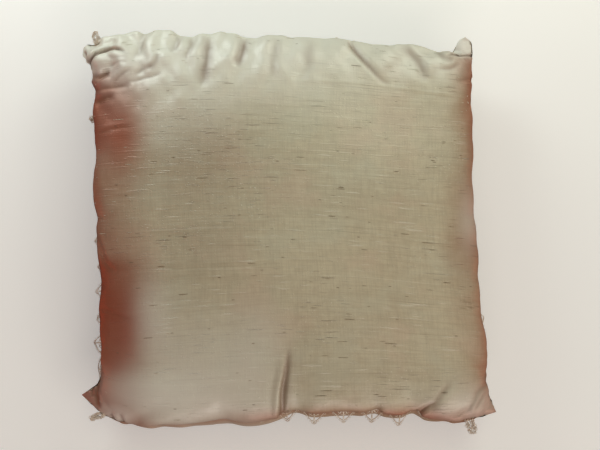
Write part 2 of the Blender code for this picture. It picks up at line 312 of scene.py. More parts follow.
def silk_material():
    """Slub silk: fine weft ribs, dark and light slubs, a satin gleam, with painted red-brown shade at its
    sides and painted pale light on its far side.
    """
    material, n = new_material("slub_silk", {
        "Sheen Roughness": 0.35, "Sheen Tint": (1.0, 0.93, 0.82, 1.0), "Specular IOR Level": 1.0,
    })
    cloth = n.cloth()
    drift = n.add("ShaderNodeCombineXYZ")
    n.link(n.noise(cloth, (9.0, 14.0, 1.0)), drift.inputs[1])
    wavy = n.add("ShaderNodeVectorMath", operation="ADD")
    n.link(cloth, wavy.inputs[0])
    n.link(n.moved("MULTIPLY", drift.outputs[0], (0.0, WEFT_DRIFT, 0.0)), wavy.inputs[1])
    weft = wavy.outputs[0]
    # Threads and streaks.
    ribs = n.noise(weft, (45.0, 1150.0, 1.0), 2.0, 0.6)
    streaks = n.noise(weft, (9.0, 330.0, 1.0), 3.0, 0.65)
    warp = n.noise(cloth, (1250.0, 90.0, 1.0), 1.0)
    lines = n.noise(n.shifted(weft, 9.0), (12.0, 760.0, 1.0), 1.0)
    broad_warp = n.noise(cloth, (170.0, 6.0, 1.0), 3.0)
    # Uneven ground.
    clouds = n.noise(cloth, (190.0, 230.0, 1.0), 3.0, 0.6)
    specks = n.span(n.noise(n.shifted(cloth, 5.0), (800.0, 900.0, 1.0), 1.0), 0.62, 0.76)
    mottle = n.noise(cloth, (17.0, 20.0, 1.0), 3.0)
    patches = n.noise(n.shifted(cloth, 3.0), (14.0, 30.0, 1.0))
    tints = n.noise(n.shifted(cloth, 11.0), (24.0, 30.0, 1.0), 3.0, 0.6)
    # Small slubs, dark ones and light ones in different places.
    slub_noise = n.noise(weft, (85.0, 1500.0, 1.0), 0.0)
    dark_slubs = n.product(n.span(slub_noise, 0.70, 0.78), n.span(patches, 0.48, 0.62))
    light_noise = n.noise(n.shifted(weft, 7.0), (70.0, 900.0, 1.0), 0.0)
    light_slubs = n.product(n.span(light_noise, 0.68, 0.80), n.span(patches, 0.62, 0.42))

    base = n.mix(n.span(mottle, 0.35, 0.65), (0.575, 0.505, 0.362), (0.635, 0.55, 0.392))
    base = n.toned(
        base,
        (streaks, 0.35, 0.72, 0.55, (0.68, 0.62, 0.46)),
        (ribs, 0.58, 0.34, 0.22, (0.38, 0.30, 0.20)),
        (warp, 0.60, 0.32, 0.17, (0.36, 0.29, 0.19)),
        (lines, 0.66, 0.78, 0.45, (0.30, 0.22, 0.13)),
        (lines, 0.34, 0.22, 0.40, (0.78, 0.72, 0.58)),
        (broad_warp, 0.56, 0.38, 0.10, (0.42, 0.35, 0.25)),
        (clouds, 0.60, 0.36, 0.20, (0.40, 0.33, 0.23)),
    )
    base = n.covered(
        base,
        (specks, n.span(patches, 0.42, 0.64, 0.05, 0.40), (0.84, 0.79, 0.66)),
        (light_slubs, 0.45, (0.80, 0.74, 0.61)),
        (dark_slubs, 0.62, (0.20, 0.13, 0.07)),
    )
    base = n.toned(
        base,
        (tints, 0.50, 0.66, 0.28, (0.66, 0.47, 0.35)),
        (tints, 0.48, 0.34, 0.25, (0.60, 0.60, 0.47)),
    )
    base, painted_shade = painted_light_and_shade(n, base, cloth, mottle)
    # Painted shade: dark brown in the creases and over a few shaded areas.
    base = n.covered(base, (n.mark("painted_dark_shade"), 0.72, (0.22, 0.11, 0.065)))
    height = n.total(
        (ribs, 0.5), (streaks, 0.5), (warp, 0.28), (clouds, 0.50), (specks, 0.50), (dark_slubs, 0.9),
        (light_slubs, 0.7),
    )
    n.dress(base, height, 0.00014, n.span(streaks, 0.2, 0.8, 0.34, 0.46))
    # Where shade is painted, the gleam is tinted red and the pale sheen is taken away.
    n.link(n.mix(painted_shade, (1.0, 1.0, 1.0), (0.9, 0.30, 0.18)), n.shader.inputs["Specular Tint"])
    n.link(n.span(painted_shade, 0.0, 1.0, 0.25, 0.02), n.shader.inputs["Sheen Weight"])
    return material


# Where red-brown shade and pale light are painted on the silk, as distances in metres from the cloth's
# middle:
# where a tone starts and where it is full, and in some how strong it is at the two.
PAINTED_SHADE_LEFT = (-0.062, -0.104)
PAINTED_SHADE_LEFT_UPPER = ((0.092, 0.074), (0.020, 0.042))
PAINTED_SHADE_LEFT_LOWER = ((-0.004, -0.024), (-0.094, -0.066, 0.3, 1.0))
PAINTED_SHADE_LEFT_BETWEEN = (0.090, 0.070, 0.0, 0.65)
PAINTED_SHADE_RIGHT = (0.080, 0.106)
PAINTED_SHADE_RIGHT_ENDS = ((-0.090, 0.000, 0.15, 1.0), (0.104, 0.092, 0.30, 1.0))
PAINTED_SHADE_NEAR = (-0.096, -0.114)
PAINTED_LIGHT_FAR = (0.040, 0.095)
PAINTED_LIGHT_FAR_SLANT = 0.22
PAINTED_LIGHT_NEAR = (-0.030, -0.078)
PAINTED_LIGHT_NEAR_ACROSS = (0.010, -0.030)
PAINTED_SHADE_RIM = (0.013, 0.0026)
PAINTED_SHADE_RIM_END = (0.080, 0.050)
PAINTED_UNEVENNESS = 0.030


def painted_light_and_shade(n, base, cloth, mottle):
    """The silk's colour with painted light and shade, and how much painted shade it has.

    Painted red-brown shade darkens its left, right and near edges and its sides at seam height; painted pale
    light brightens its far side and near left; both in uneven patches.
    """
    across, along = n.parts(cloth)[:2]
    uneven = n.product(n.math("SUBTRACT", mottle, 0.5), PAINTED_UNEVENNESS)
    across_uneven = n.math("ADD", across, uneven)
    along_uneven = n.math("ADD", along, uneven)
    upper = n.product(*(n.span(along, *ends) for ends in PAINTED_SHADE_LEFT_UPPER))
    lower = n.product(*(n.span(along, *ends) for ends in PAINTED_SHADE_LEFT_LOWER))
    between = n.span(along, *PAINTED_SHADE_LEFT_BETWEEN)
    left = n.product(n.span(across_uneven, *PAINTED_SHADE_LEFT), n.greatest(between, upper, lower))
    right = n.span(across_uneven, *PAINTED_SHADE_RIGHT)
    right = n.product(right, *(n.span(along, *ends) for ends in PAINTED_SHADE_RIGHT_ENDS))
    near = n.span(along_uneven, *PAINTED_SHADE_NEAR)
    far = n.span(n.math("SUBTRACT", along_uneven, n.product(across, PAINTED_LIGHT_FAR_SLANT)), *PAINTED_LIGHT_FAR)
    near_left = n.product(n.span(along_uneven, *PAINTED_LIGHT_NEAR), n.span(across_uneven, *PAINTED_LIGHT_NEAR_ACROSS))
    height = n.parts(n.place())[2]
    from_seam = n.math("ABSOLUTE", n.math("SUBTRACT", height, SEAM_Z * MM), 0.0)
    rim = n.product(n.span(from_seam, *PAINTED_SHADE_RIM), n.span(along, *PAINTED_SHADE_RIM_END))
    # Painted red-brown shade and painted light in patches, kept at the back's points.
    painted_shade_patch = n.product(n.mark("painted_shade_patch"), n.span(mottle, 0.2, 0.6, 0.8, 1.0))
    painted_light_patch = n.mark("painted_light_patch")
    # Painted pale light on the far side and near left; painted red-brown shade on the left, right and near
    # edges and on the sides at seam height.
    base = n.covered(
        base,
        (far, 0.78, (0.92, 0.90, 0.81)),
        (near_left, 0.50, (0.86, 0.84, 0.76)),
        (left, 0.95, (0.26, 0.050, 0.024)),
        (right, 0.85, (0.30, 0.13, 0.075)),
        (near, 0.35, (0.34, 0.20, 0.12)),
        (rim, 0.70, (0.38, 0.15, 0.09)),
    )
    # Painted red-brown shade over the patches.
    base = n.mix(painted_shade_patch, base, (0.30, 0.060, 0.026))
    # How much painted shade there is, less where light is painted; it tints the gleam and takes away the
    # sheen.
    painted_shade = n.math("SUBTRACT", n.greatest(left, right, painted_shade_patch, rim), painted_light_patch)
    # Painted light turns its patches pale.
    return n.mix(painted_light_patch, base, (0.95, 0.925, 0.86)), painted_shade


def muslin_material():
    """Plain cotton muslin: an open square weave with a few neps."""
    material, n = new_material("muslin", {"Roughness": 0.92, "Sheen Weight": 0.15})
    cloth = n.cloth()
    weft = n.noise(cloth, (60.0, 1500.0, 1.0), 1.0)
    warp = n.noise(cloth, (1500.0, 60.0, 1.0), 1.0)
    neps = n.span(n.noise(cloth, (420.0, 420.0, 1.0), 0.0), 0.72, 0.8)
    weave = n.total((weft, 0.5), (warp, 0.5))
    base = n.mix(n.span(weave, 0.35, 0.65), (0.66, 0.62, 0.53), (0.80, 0.77, 0.69))
    base = n.covered(base, (neps, 0.5, (0.42, 0.33, 0.22)))
    n.dress(base, n.math("ADD", weave, neps), 0.0002)
    return material


def fibre_material():
    """Polyester fibre fill: white, with tangled strands and soft clumps."""
    material, n = new_material("fibre_fill", {"Roughness": 0.95, "Sheen Weight": 0.4})
    strands = n.noise(n.place(), (900.0, 260.0, 700.0), 4.0, 0.7)
    clumps = n.noise(n.place(), (90.0, 90.0, 90.0))
    base = n.mix(n.span(strands, 0.3, 0.7), (0.72, 0.72, 0.70), (0.90, 0.90, 0.88))
    n.dress(base, n.total((strands, 0.4), (clumps, 1.0)), 0.0012)
    return material


def cotton_thread_material(name, light, dark, pitch, height):
    """Twisted thread: a fine ply bump, fuzz and uneven ageing."""
    material, n = new_material(name, {"Sheen Weight": 0.3, "Sheen Roughness": 0.4})
    ply = n.noise(n.place(), (pitch, pitch, pitch), 2.0, 0.6)
    age = n.noise(n.place(), (60.0, 60.0, 60.0))
    base = n.mix(n.span(age, 0.35, 0.65), dark, light)
    base = n.toned(base, (ply, 0.55, 0.35, 0.35, tuple(0.6 * value for value in dark)))
    n.dress(base, ply, height, n.span(ply, 0.3, 0.7, 0.6, 0.8))
    return material


def satin_material():
    """Narrow satin ribbon: long warp floats along its length."""
    material, n = new_material("satin_ribbon", {"Anisotropic": 0.5, "Sheen Weight": 0.2})
    cloth = n.cloth()
    floats = n.noise(cloth, (120.0, 5200.0, 1.0), 2.0, 0.6)
    ribs = n.noise(cloth, (2600.0, 90.0, 1.0), 0.0)
    wear = n.noise(cloth, (90.0, 160.0, 1.0), 3.0)
    base = n.mix(n.span(floats, 0.3, 0.7), (0.70, 0.64, 0.52), (0.82, 0.77, 0.66))
    base = n.toned(base, (wear, 0.6, 0.8, 0.3, (0.58, 0.50, 0.38)))
    n.dress(base, n.total((floats, 0.6), (ribs, 0.4)), 0.00008, n.span(wear, 0.3, 0.7, 0.28, 0.4))
    return material


def slub_yarn_material(name, colour):
    """Loose raw silk: fine lengthwise fibres, duller than the cloth."""
    material, n = new_material(name, {"Roughness": 0.6, "Sheen Weight": 0.2})
    fibres = n.noise(n.place(), (400.0, 6000.0, 6000.0))
    base = n.mix(n.span(fibres, 0.3, 0.7), tuple(0.7 * value for value in colour), colour)
    n.dress(base, fibres, 0.00004)
    return material


# ---------------------------------------------------------------- lines and grids of points


def unit(vectors):
    """Vectors made one long."""
    return vectors / np.maximum(np.linalg.norm(vectors, axis=-1, keepdims=True), 1e-9)


def run_length(line):
    """Length along a line from its first point to each of its points."""
    return np.concatenate([[0], np.cumsum(np.linalg.norm(np.diff(line, axis=0), axis=1))])


def at_lengths(wanted, length, line):
    """Points, or other rows of numbers, at the wanted lengths along a line."""
    return np.stack([np.interp(wanted, length, line[:, k]) for k in range(line.shape[1])], axis=-1)


def point_numbers(rows, columns):
    """The point numbers of a grid."""
    return np.arange(rows * columns).reshape(rows, columns)


def grid_quads(index, turned):
    """Quads of a grid of point numbers; turned faces them the other way."""
    corners = [index[:-1, :-1], index[:-1, 1:], index[1:, 1:], index[1:, :-1]]
    if turned:
        corners.reverse()
    return np.stack(corners, axis=-1).reshape(-1, 4)


def grid_normals(grid):
    """Unit normals of a grid of points, up on the back of the pillow."""
    return unit(np.cross(np.gradient(grid, axis=1), np.gradient(grid, axis=0)))


def sewn_shell(upper, lower):
    """Two grids as one closed body that shares their rim: points, quads, and each grid's point numbers."""
    rows, columns = upper.shape[:2]
    rim = (upper + lower) / 2
    for edge in (np.s_[0, :], np.s_[-1, :], np.s_[:, 0], np.s_[:, -1]):
        upper[edge] = rim[edge]
    upper_index = point_numbers(rows, columns)
    lower_index = upper_index.copy()
    lower_index[1:-1, 1:-1] = rows * columns + point_numbers(rows - 2, columns - 2)
    points = np.concatenate([upper.reshape(-1, 3), lower[1:-1, 1:-1].reshape(-1, 3)])
    quads = np.concatenate([grid_quads(upper_index, False), grid_quads(lower_index, True)])
    return points, quads, upper_index, lower_index


def mesh_object(name, points, faces, material=None, scale=MM):
    """A smooth mesh object of points in millimetres, or in another scale."""
    mesh = bpy.data.meshes.new(name)
    mesh.from_pydata((points * scale).tolist(), [], faces if isinstance(faces, list) else faces.tolist())
    if material:
        mesh.materials.append(material)
    mesh.shade_smooth()
    return add_object(name, mesh)


def loop_points(mesh):
    """The point number of each face corner of a mesh."""
    loops = np.empty(len(mesh.loops), int)
    mesh.loops.foreach_get("vertex_index", loops)
    return loops


def write_uv(mesh, name, places):
    """A UV map with one place for each point of the mesh."""
    layer = mesh.uv_layers.new(name=name)
    layer.data.foreach_set("uv", places.reshape(-1, 2)[loop_points(mesh)].reshape(-1))


def read_points(mesh):
    """A mesh's points."""
    points = np.empty(len(mesh.vertices) * 3)
    mesh.vertices.foreach_get("co", points)
    return points.reshape(-1, 3)


# ---------------------------------------------------------------- the seam that the cover hangs on

# Where the silk's outline runs on each side, as (along, out) in millimetres from the middle.
TOP_SIDE = (
    (-106.8, 94.0), (-105.2, 98.0), (-102, 99.2), (-99.5, 100.6), (-96.5, 103.0), (-92, 104.6), (-88, 105.2),
    (-81, 105.4), (-77, 104.4), (-71, 105.2), (-60, 102.8), (-52, 101.4), (-44, 102.2), (-36, 102.0),
    (-29, 101.2), (-22.5, 99.3), (-16, 101.0), (-4, 101.3), (10, 100.6), (22, 99.6), (33, 97.8),
    (40, 97.5), (48, 97.4), (56, 97.9), (66, 98.2), (76, 96.8), (82, 95.4), (84.6, 94.6), (86.0, 97.2),
    (88.2, 100.4), (91.6, 101.8),
)
BOTTOM_SIDE = (
    (-104.2, 82.6), (-100, 87.2), (-96, 91.6), (-91, 95.6), (-86, 98.2), (-78, 100.0), (-64, 99.4),
    (-50, 97.8), (-36, 96.8), (-22, 97.0), (-12, 95.4), (-4, 93.0), (1, 90.6), (8, 92.6), (20, 92.2),
    (32, 91.8), (39, 91.8), (42.5, 90.2), (46, 92.2), (52, 93.2), (58, 93.4), (62.5, 90.8), (67, 94.4),
    (76, 97.0), (84, 98.0), (92, 96.8), (98, 94.8), (104.4, 91.8),
)
LEFT_SIDE = (
    (-82.6, 104.2), (-79.6, 100.2), (-77, 97.4), (-73, 96.4), (-66, 96.0), (-56, 95.8), (-46, 95.5),
    (-36, 95.0), (-26, 94.2), (-18, 94.8), (-8, 96.0), (0, 96.8), (6, 97.0), (14, 98.0), (24, 98.4),
    (36, 98.2), (48, 98.8), (58, 100.0), (68, 101.0), (76, 102.4), (84, 103.2), (89, 104.0), (94.0, 106.8),
)
RIGHT_SIDE = (
    (-91.8, 104.4), (-86, 103.0), (-76, 102.0), (-66, 101.2), (-56, 100.0), (-46, 98.4), (-36, 96.6),
    (-26, 95.8), (-14, 95.4), (-2, 95.0), (10, 94.2), (22, 93.6), (34, 93.3), (46, 94.0), (58, 94.6),
    (70, 95.4), (76, 96.0), (79.5, 95.8), (84, 96.6), (90, 96.8), (96, 96.2), (99.6, 94.8), (101.8, 91.6),
)

# How high each side's seam lies above the level seam, as (along, height) in millimetres.
TOP_RISE = ((-107, 2), (-96, 3), (-80, 2), (-40, 1), (0, 0), (40, 0.5), (70, 1), (84, 2.5), (92, 6))
BOTTOM_RISE = ((-105, -4), (-92, -4), (-70, -1), (-30, 0), (0, 1.5), (44, 1.5), (70, -0.5), (105, 1))
LEFT_RISE = ((-83, -4), (-72, -2), (-30, 0), (20, 0), (60, 0.5), (94, 2))
RIGHT_RISE = ((-92, 1), (-70, 0), (-20, 0), (30, 0.5), (70, 1), (88, 2.5), (102, 6))

# The stuffed cloth swells past the seam, except at the corners.
OVERHANG = 5.0
SWELL_REACH = 2.9 * OVERHANG
SWELL_POWER = 8
FULLNESS = 0.52


def smooth_interp(x, points):
    """Cubic interpolation through points whose first values grow."""
    xs = np.array([p[0] for p in points], float)
    ys = np.array([p[1] for p in points], float)
    slope = np.gradient(ys, xs)
    i = np.clip(np.searchsorted(xs, x) - 1, 0, len(xs) - 2)
    width = xs[i + 1] - xs[i]
    f = np.clip((x - xs[i]) / width, 0, 1)
    start = (1 + 2 * f) * (1 - f) ** 2 * ys[i] + f * (1 - f) ** 2 * width * slope[i]
    end = f**2 * (3 - 2 * f) * ys[i + 1] + f**2 * (f - 1) * width * slope[i + 1]
    return start + end


def seam_side(outline, rise, share, along_axis, sign):
    """A side's seam at shares from -1 to 1 of its length, an overhang inside the silk's outline."""
    along = outline[0][0] + (outline[-1][0] - outline[0][0]) * (share + 1) / 2
    seam = np.empty((len(share), 3))
    seam[:, along_axis] = along
    seam[:, 1 - along_axis] = sign * (smooth_interp(along, outline) - OVERHANG * (1 - share**4))
    seam[:, 2] = SEAM_Z + smooth_interp(along, rise)
    return seam


def swell(share):
    """Share of the side swell: none at the seam and in the middle, full just inside the seam."""
    peak = SWELL_POWER / (SWELL_POWER + 1)
    share = np.abs(share)
    return share**SWELL_POWER * (1 - share) / (peak**SWELL_POWER * (1 - peak))


# ---------------------------------------------------------------- stuffed cover

SIM_CELLS = 80
FINE_LEVELS = 2


def cover_face(facing):
    """Points of one face of the cover as it was cut and filled, as a grid [row along Y][column]."""
    spread = np.sin(np.pi / 2 * np.linspace(-1, 1, SIM_CELLS + 1))
    spread[0], spread[-1] = -1.0, 1.0
    top = seam_side(TOP_SIDE, TOP_RISE, spread, 0, 1)
    bottom = seam_side(BOTTOM_SIDE, BOTTOM_RISE, spread, 0, -1)
    left = seam_side(LEFT_SIDE, LEFT_RISE, spread, 1, -1)
    right = seam_side(RIGHT_SIDE, RIGHT_RISE, spread, 1, 1)
    for side, start, end in ((left, bottom[0], top[0]), (right, bottom[-1], top[-1])):
        side[0], side[-1] = start, end
    s, t = spread[None, :, None], spread[:, None, None]
    face = (1 - t) / 2 * bottom[None] + (1 + t) / 2 * top[None]
    face = face + (1 - s) / 2 * left[:, None] + (1 + s) / 2 * right[:, None]
    corners = (1 - s) * (1 - t) * bottom[0] + (1 + s) * (1 - t) * bottom[-1]
    corners = corners + (1 - s) * (1 + t) * top[0] + (1 + s) * (1 + t) * top[-1]
    face = face - corners / 4
    s, t = spread[None, :], spread[:, None]
    face[..., 0] += SWELL_REACH * np.sign(s) * swell(s) * (1 - t**4)
    face[..., 1] += SWELL_REACH * np.sign(t) * swell(t) * (1 - s**4)
    shape = ((1 - s**2) * (1 - t**2)) ** FULLNESS
    if facing > 0:
        face[..., 2] += CROWN_RISE * shape
    else:
        face[..., 2] = np.maximum(face[..., 2] - FRONT_DROP * shape, BELLY_Z)
    return face


SIM_SCALE = 0.01
SIM_FRAMES = 20
CLOTH_SETTINGS = {
    "quality": 6, "mass": 0.3,
    "tension_stiffness": 30, "compression_stiffness": 30, "shear_stiffness": 12, "bending_stiffness": 1.2,
    "tension_damping": 10, "compression_damping": 10, "shear_damping": 10, "bending_damping": 2,
    "use_pressure": True, "uniform_pressure_force": 3.5, "shrink_min": -0.045,
    "vertex_group_mass": "pinned",
}


def blow_up(points, quads, seam):
    """Cloth simulation of the stuffed cover: spare cloth, pressed out from inside, held at the seam."""
    blown = mesh_object("blown", points, quads, scale=SIM_SCALE)
    blown.vertex_groups.new(name="pinned").add([int(i) for i in seam], 1.0, "REPLACE")
    cloth = blown.modifiers.new("cloth", "CLOTH")
    for name, value in CLOTH_SETTINGS.items():
        setattr(cloth.settings, name, value)
    cloth.settings.effector_weights.gravity = 0.0
    cloth.collision_settings.use_collision = False
    cloth.point_cache.frame_start = 1
    cloth.point_cache.frame_end = SIM_FRAMES
    for step in range(1, SIM_FRAMES + 1):
        bpy.context.scene.frame_set(step)
    result = read_points(blown.evaluated_get(bpy.context.evaluated_depsgraph_get()).data)
    bpy.data.objects.remove(blown)
    bpy.context.scene.frame_set(1)
    return result / SIM_SCALE


WRINKLE_SMOOTHING = 60
WRINKLE_SHARE = 0.4
WRINKLE_FROM = 0.45
WRINKLE_FULL = 0.70


def edge_wrinkles(moved):
    """What is left of the simulated cloth's movement without its slow swell, near the seams only."""
    slow = moved.copy()
    for _ in range(WRINKLE_SMOOTHING):
        slow[1:-1, :] = (slow[:-2, :] + 2 * slow[1:-1, :] + slow[2:, :]) / 4
        slow[:, 1:-1] = (slow[:, :-2] + 2 * slow[:, 1:-1] + slow[:, 2:]) / 4
    step = np.abs(np.linspace(-1, 1, len(moved)))
    nearness = np.maximum(step[None, :], step[:, None])
    mask = np.clip((nearness - WRINKLE_FROM) / (WRINKLE_FULL - WRINKLE_FROM), 0, 1)
    return (moved - slow) * (WRINKLE_SHARE * mask)[..., None]


def finer_grid(grid, levels):
    """A grid of points made finer by Catmull-Clark subdivision, as a grid again."""
    rows, columns = grid.shape[:2]
    index = point_numbers(rows, columns)
    made = mesh_object("finer", grid.reshape(-1, 3), grid_quads(index, False), scale=1.0)
    write_uv(made.data, "cell", np.stack([index % columns, index // columns], axis=-1).astype(float))
    subdivide = made.modifiers.new("finer", "SUBSURF")
    subdivide.levels = levels
    subdivide.boundary_smooth = "PRESERVE_CORNERS"
    subdivide.uv_smooth = "NONE"
    evaluated = made.evaluated_get(bpy.context.evaluated_depsgraph_get())
    finer = evaluated.to_mesh()
    points = read_points(finer)[loop_points(finer)]
    cell = np.empty(len(finer.loops) * 2)
    finer.uv_layers["cell"].data.foreach_get("uv", cell)
    evaluated.to_mesh_clear()
    bpy.data.objects.remove(made)
    step = 2**levels
    place = np.rint(cell.reshape(-1, 2) * step).astype(int)
    fine = np.zeros(((rows - 1) * step + 1, (columns - 1) * step + 1, 3))
    fine[place[:, 1], place[:, 0]] = points
    return fine


# ---------------------------------------------------------------- creases pressed into the back

# Lines are drawn on the seam's plane and pressed in along this lean, towards the closed side.
LEAN = math.tan(math.pi / 2 - CAMERA_ELEVATION)


# A groove along a path, and a ridge beside it at a gap; side 1 is left of the path's direction.
# fade is the share of its length over which each end runs out.
Crease = namedtuple("Crease", "path depth width ridge side gap fade", defaults=(0.0, 1, 1.9, (0.25, 0.25)))

CREASES = (
    # The folded flap at the top left corner, its hollow below, and the tip's own fold.
    Crease(((-103.4, 87.8), (-100.6, 90.6), (-98.4, 93.2), (-95, 95.4), (-90.8, 96.2), (-86.5, 95.4),
            (-82, 93.0)), 1.7, 0.75, 1.0, 1, 1.7, (0.1, 0.35)),
    Crease(((-105.6, 95.6), (-103.6, 92.4), (-101.4, 89.2)), 0.8, 0.9, 0.5, -1, 1.6, (0.2, 0.3)),
    Crease(((-84, 78.2), (-76, 79.6), (-64, 83.2)), 0.5, 0.7, 0.3, 1),
    Crease(((-99, 77.4), (-95.5, 80.2), (-92.4, 84.6)), 0.8, 0.9, 0.4, 1),
    Crease(((-90, 76.8), (-86, 81.4), (-80, 85.4)), 0.5, 0.8, 0.4, 1),
    Crease(((-93, 86.2), (-88, 88.6), (-82, 88.6)), 0.4, 0.8, 0.3, -1),
    Crease(((-72, 84.5), (-68, 88.5), (-66, 93.5)), 0.6, 1.8, 0.4, 1),
    Crease(((-79, 82), (-73, 86), (-69, 86.5)), 0.4, 1.0, 0.3, 1),
    Crease(((-94.0, 92.4), (-88.0, 91.0), (-81.5, 91.6)), 0.4, 0.9, 0.3, -1),
    # Short folds that run in from the left side.
    Crease(((-102.0, 82.2), (-96.5, 80.6), (-91.5, 83.6)), 1.1, 1.8, 0.5, -1),
    Crease(((-101.0, 74.0), (-92, 75.2), (-80, 76.8)), 0.7, 1.5, 0.4, -1),
    Crease(((-99.5, 66.6), (-95, 69.4), (-89, 71.2)), 0.8, 1.9, 0.3, 1),
    Crease(((-98.0, 50.8), (-90, 53.4), (-77, 55.4)), 0.3, 1.2, 0.2, 1),
    Crease(((-99.5, 4.0), (-95, -6), (-91.5, -15), (-85, -21)), 0.5, 1.8, 0.3, 1),
    Crease(((-96.0, -37.2), (-88, -41.2), (-77, -45)), 0.22, 0.9, 0.2, 1),
    # Puckers that hang from the top seam.
    Crease(((-74.6, 106), (-75.6, 98), (-79.5, 91)), 0.4, 1.8, 0.3, 1),
    Crease(((-56.4, 104), (-57, 99), (-60, 94)), 0.6, 1.9, 0.3, 1),
    Crease(((-49.6, 103.4), (-50, 97), (-53, 90)), 0.6, 1.9, 0.3, -1),
    Crease(((-41.5, 103), (-41.6, 92), (-43.4, 76)), 0.9, 3.4, 0.5, -1, 6.0),
    Crease(((-22.3, 102), (-23.4, 95), (-26.5, 86)), 1.0, 2.6, 0.5, -1, 4.0),
    Crease(((-5.0, 102), (-7.4, 92), (-8.2, 80)), 0.4, 3.0, 0.25, -1, 4.0),
    Crease(((12.0, 101), (10.4, 92), (9.6, 82)), 0.35, 3.0, 0.25, 1, 4.0),
    Crease(((31.0, 100.5), (34.4, 95.4), (40.4, 87.6), (46.6, 80.4), (52.6, 76.4)), 1.1, 1.3, 0.6, 1, 3.0,
           (0.12, 0.6)),
    Crease(((56.5, 99.0), (63.4, 93.6), (68, 86.6), (70.5, 79.0)), 0.7, 2.6, 0.5, 1, 4.0),
    Crease(((77.0, 96.5), (79.5, 92.6), (85.4, 90.4)), 0.6, 1.6, 0.3, 1),
    # The fold across the base of the ear at the top right corner.
    Crease(((81.5, 92.6), (85.0, 93.6), (89.0, 93.2), (96.0, 93.2)), 0.9, 0.6, 0.5, -1, 1.3, (0.3, 0.05)),
    Crease(((77.0, 85.6), (83.5, 86.2), (88.5, 89.0)), 0.4, 1.4, 0.3, 1),
    Crease(((98.0, 79.4), (91.5, 80.2), (86.0, 78.6)), 0.5, 1.7, 0.2, 1, 1.8, (0.05, 0.5)),
    # Folds that fan out of the bottom right corner, and the drag lines of the closed stretch.
    Crease(((62.4, -95.6), (65.0, -91.6), (69.4, -88.0), (73, -85.8)), 1.1, 1.4, 0.6, -1, 2.4, (0.05, 0.4)),
    Crease(((70.4, -92.0), (75.6, -82.6), (82, -75.5)), 0.5, 1.8, 0.3, -1, 3.5),
    Crease(((79.0, -94.0), (87.6, -90.6), (92.4, -86.6), (95, -81), (99.4, -76.0), (102.4, -67)), 0.45, 1.8,
           0.3, -1, 2.6),
    Crease(((92.5, -91.4), (96.4, -84.6), (99.6, -80.0)), 0.45, 0.9, 0.3, 1),
    Crease(((42.6, -96.0), (43.4, -91.6), (46.4, -87.4)), 0.9, 1.6, 0.3, -1, 2.0, (0.05, 0.45)),
    Crease(((-3.0, -97.5), (-2.8, -90.0), (-2.4, -80.0), (-0.8, -70.0), (0.4, -58.0)), 1.5, 1.5, 0.7, 1, 2.6,
           (0.05, 0.5)),
    Crease(((-8.0, -92.0), (-7.6, -80.0), (-5.0, -68.0)), 0.2, 1.6, 0.1, 1, 4.0),
    # The ear at the bottom left corner.
    Crease(((-95.6, -74.5), (-96.6, -82.0), (-95.4, -90.5)), 1.2, 1.5, 0.6, 1, 2.4, (0.3, 0.2)),
    Crease(((-99.4, -79.0), (-98.6, -84.6)), 0.7, 1.1, 0.3, 1),
    Crease(((-89.4, -92.0), (-86.2, -99.0)), 0.7, 1.0, 0.4, 1),
    Crease(((-84.2, -92.0), (-82.0, -98.6)), 0.5, 0.9, 0.3, 1),
    # A slack weft thread that stands up below the top edge.
    Crease(((1.0, 77.6), (20, 77.4), (40, 76.4), (60, 73.6), (86, 70.6)), 0.10, 0.55, 0.22, 1, 0.9,
           (0.1, 0.1)),
)

# Broad soft rises and hollows, as (x, y, radius along x, radius along y, turn in degrees, height).
PUFFS = (
    (-95, 90, 8, 5, 20, 1.6), (-86, 84, 9, 5, 20, 0.8), (-66, 92, 8, 7, 0, 1.0), (-34, 90, 5, 11, 0, 0.9),
    (-15, 92, 7, 9, 0, 0.8), (20, 90, 9, 8, 0, 0.5), (50, 89, 7, 6, -40, 1.0), (71, 90, 7, 6, 0, 0.9),
    (-86, -56, 10, 20, 6, -2.2), (-70, -80, 16, 9, 0, 1.2), (80, -86, 8, 6, 20, 0.9),
    (30, -40, 28, 22, 10, 0.8), (-30, 20, 30, 26, 0, -0.6), (40, 30, 30, 24, 0, 0.5),
    (-82, 20, 10, 30, 0, -0.8),
)


def smooth_path(path, step):
    """Points every step along a smooth curve through a path's points."""
    path = np.array(path, float)
    if len(path) == 2:
        curve = path
    else:
        padded = np.concatenate([2 * path[:1] - path[1:2], path, 2 * path[-1:] - path[-2:-1]])
        f = np.linspace(0, 1, 12, endpoint=False)[:, None]
        pieces = []
        for a, b, c, d in zip(padded[:-3], padded[1:-2], padded[2:-1], padded[3:]):
            pieces.append(b + f * (c - a) / 2 + f**2 * (a - 2.5 * b + 2 * c - d / 2)
                          + f**3 * (1.5 * (b - c) + (d - a) / 2))
        curve = np.concatenate(pieces + [path[-1:]])
    length = run_length(curve)
    return at_lengths(np.linspace(0, length[-1], max(2, int(length[-1] / step) + 1)), length, curve)


CRUMPLE_DEPTH = 0.34
CRUMPLE_WAVES = 26
CRUMPLE_LENGTHS = (5.0, 18.0)
CRUMPLE_FROM = 66.0
CRUMPLE_FADE = 26.0
CRUMPLED_CORNER = (-92.0, 88.0)
CRUMPLED_CORNER_SIZE = (40.0, 20.0)


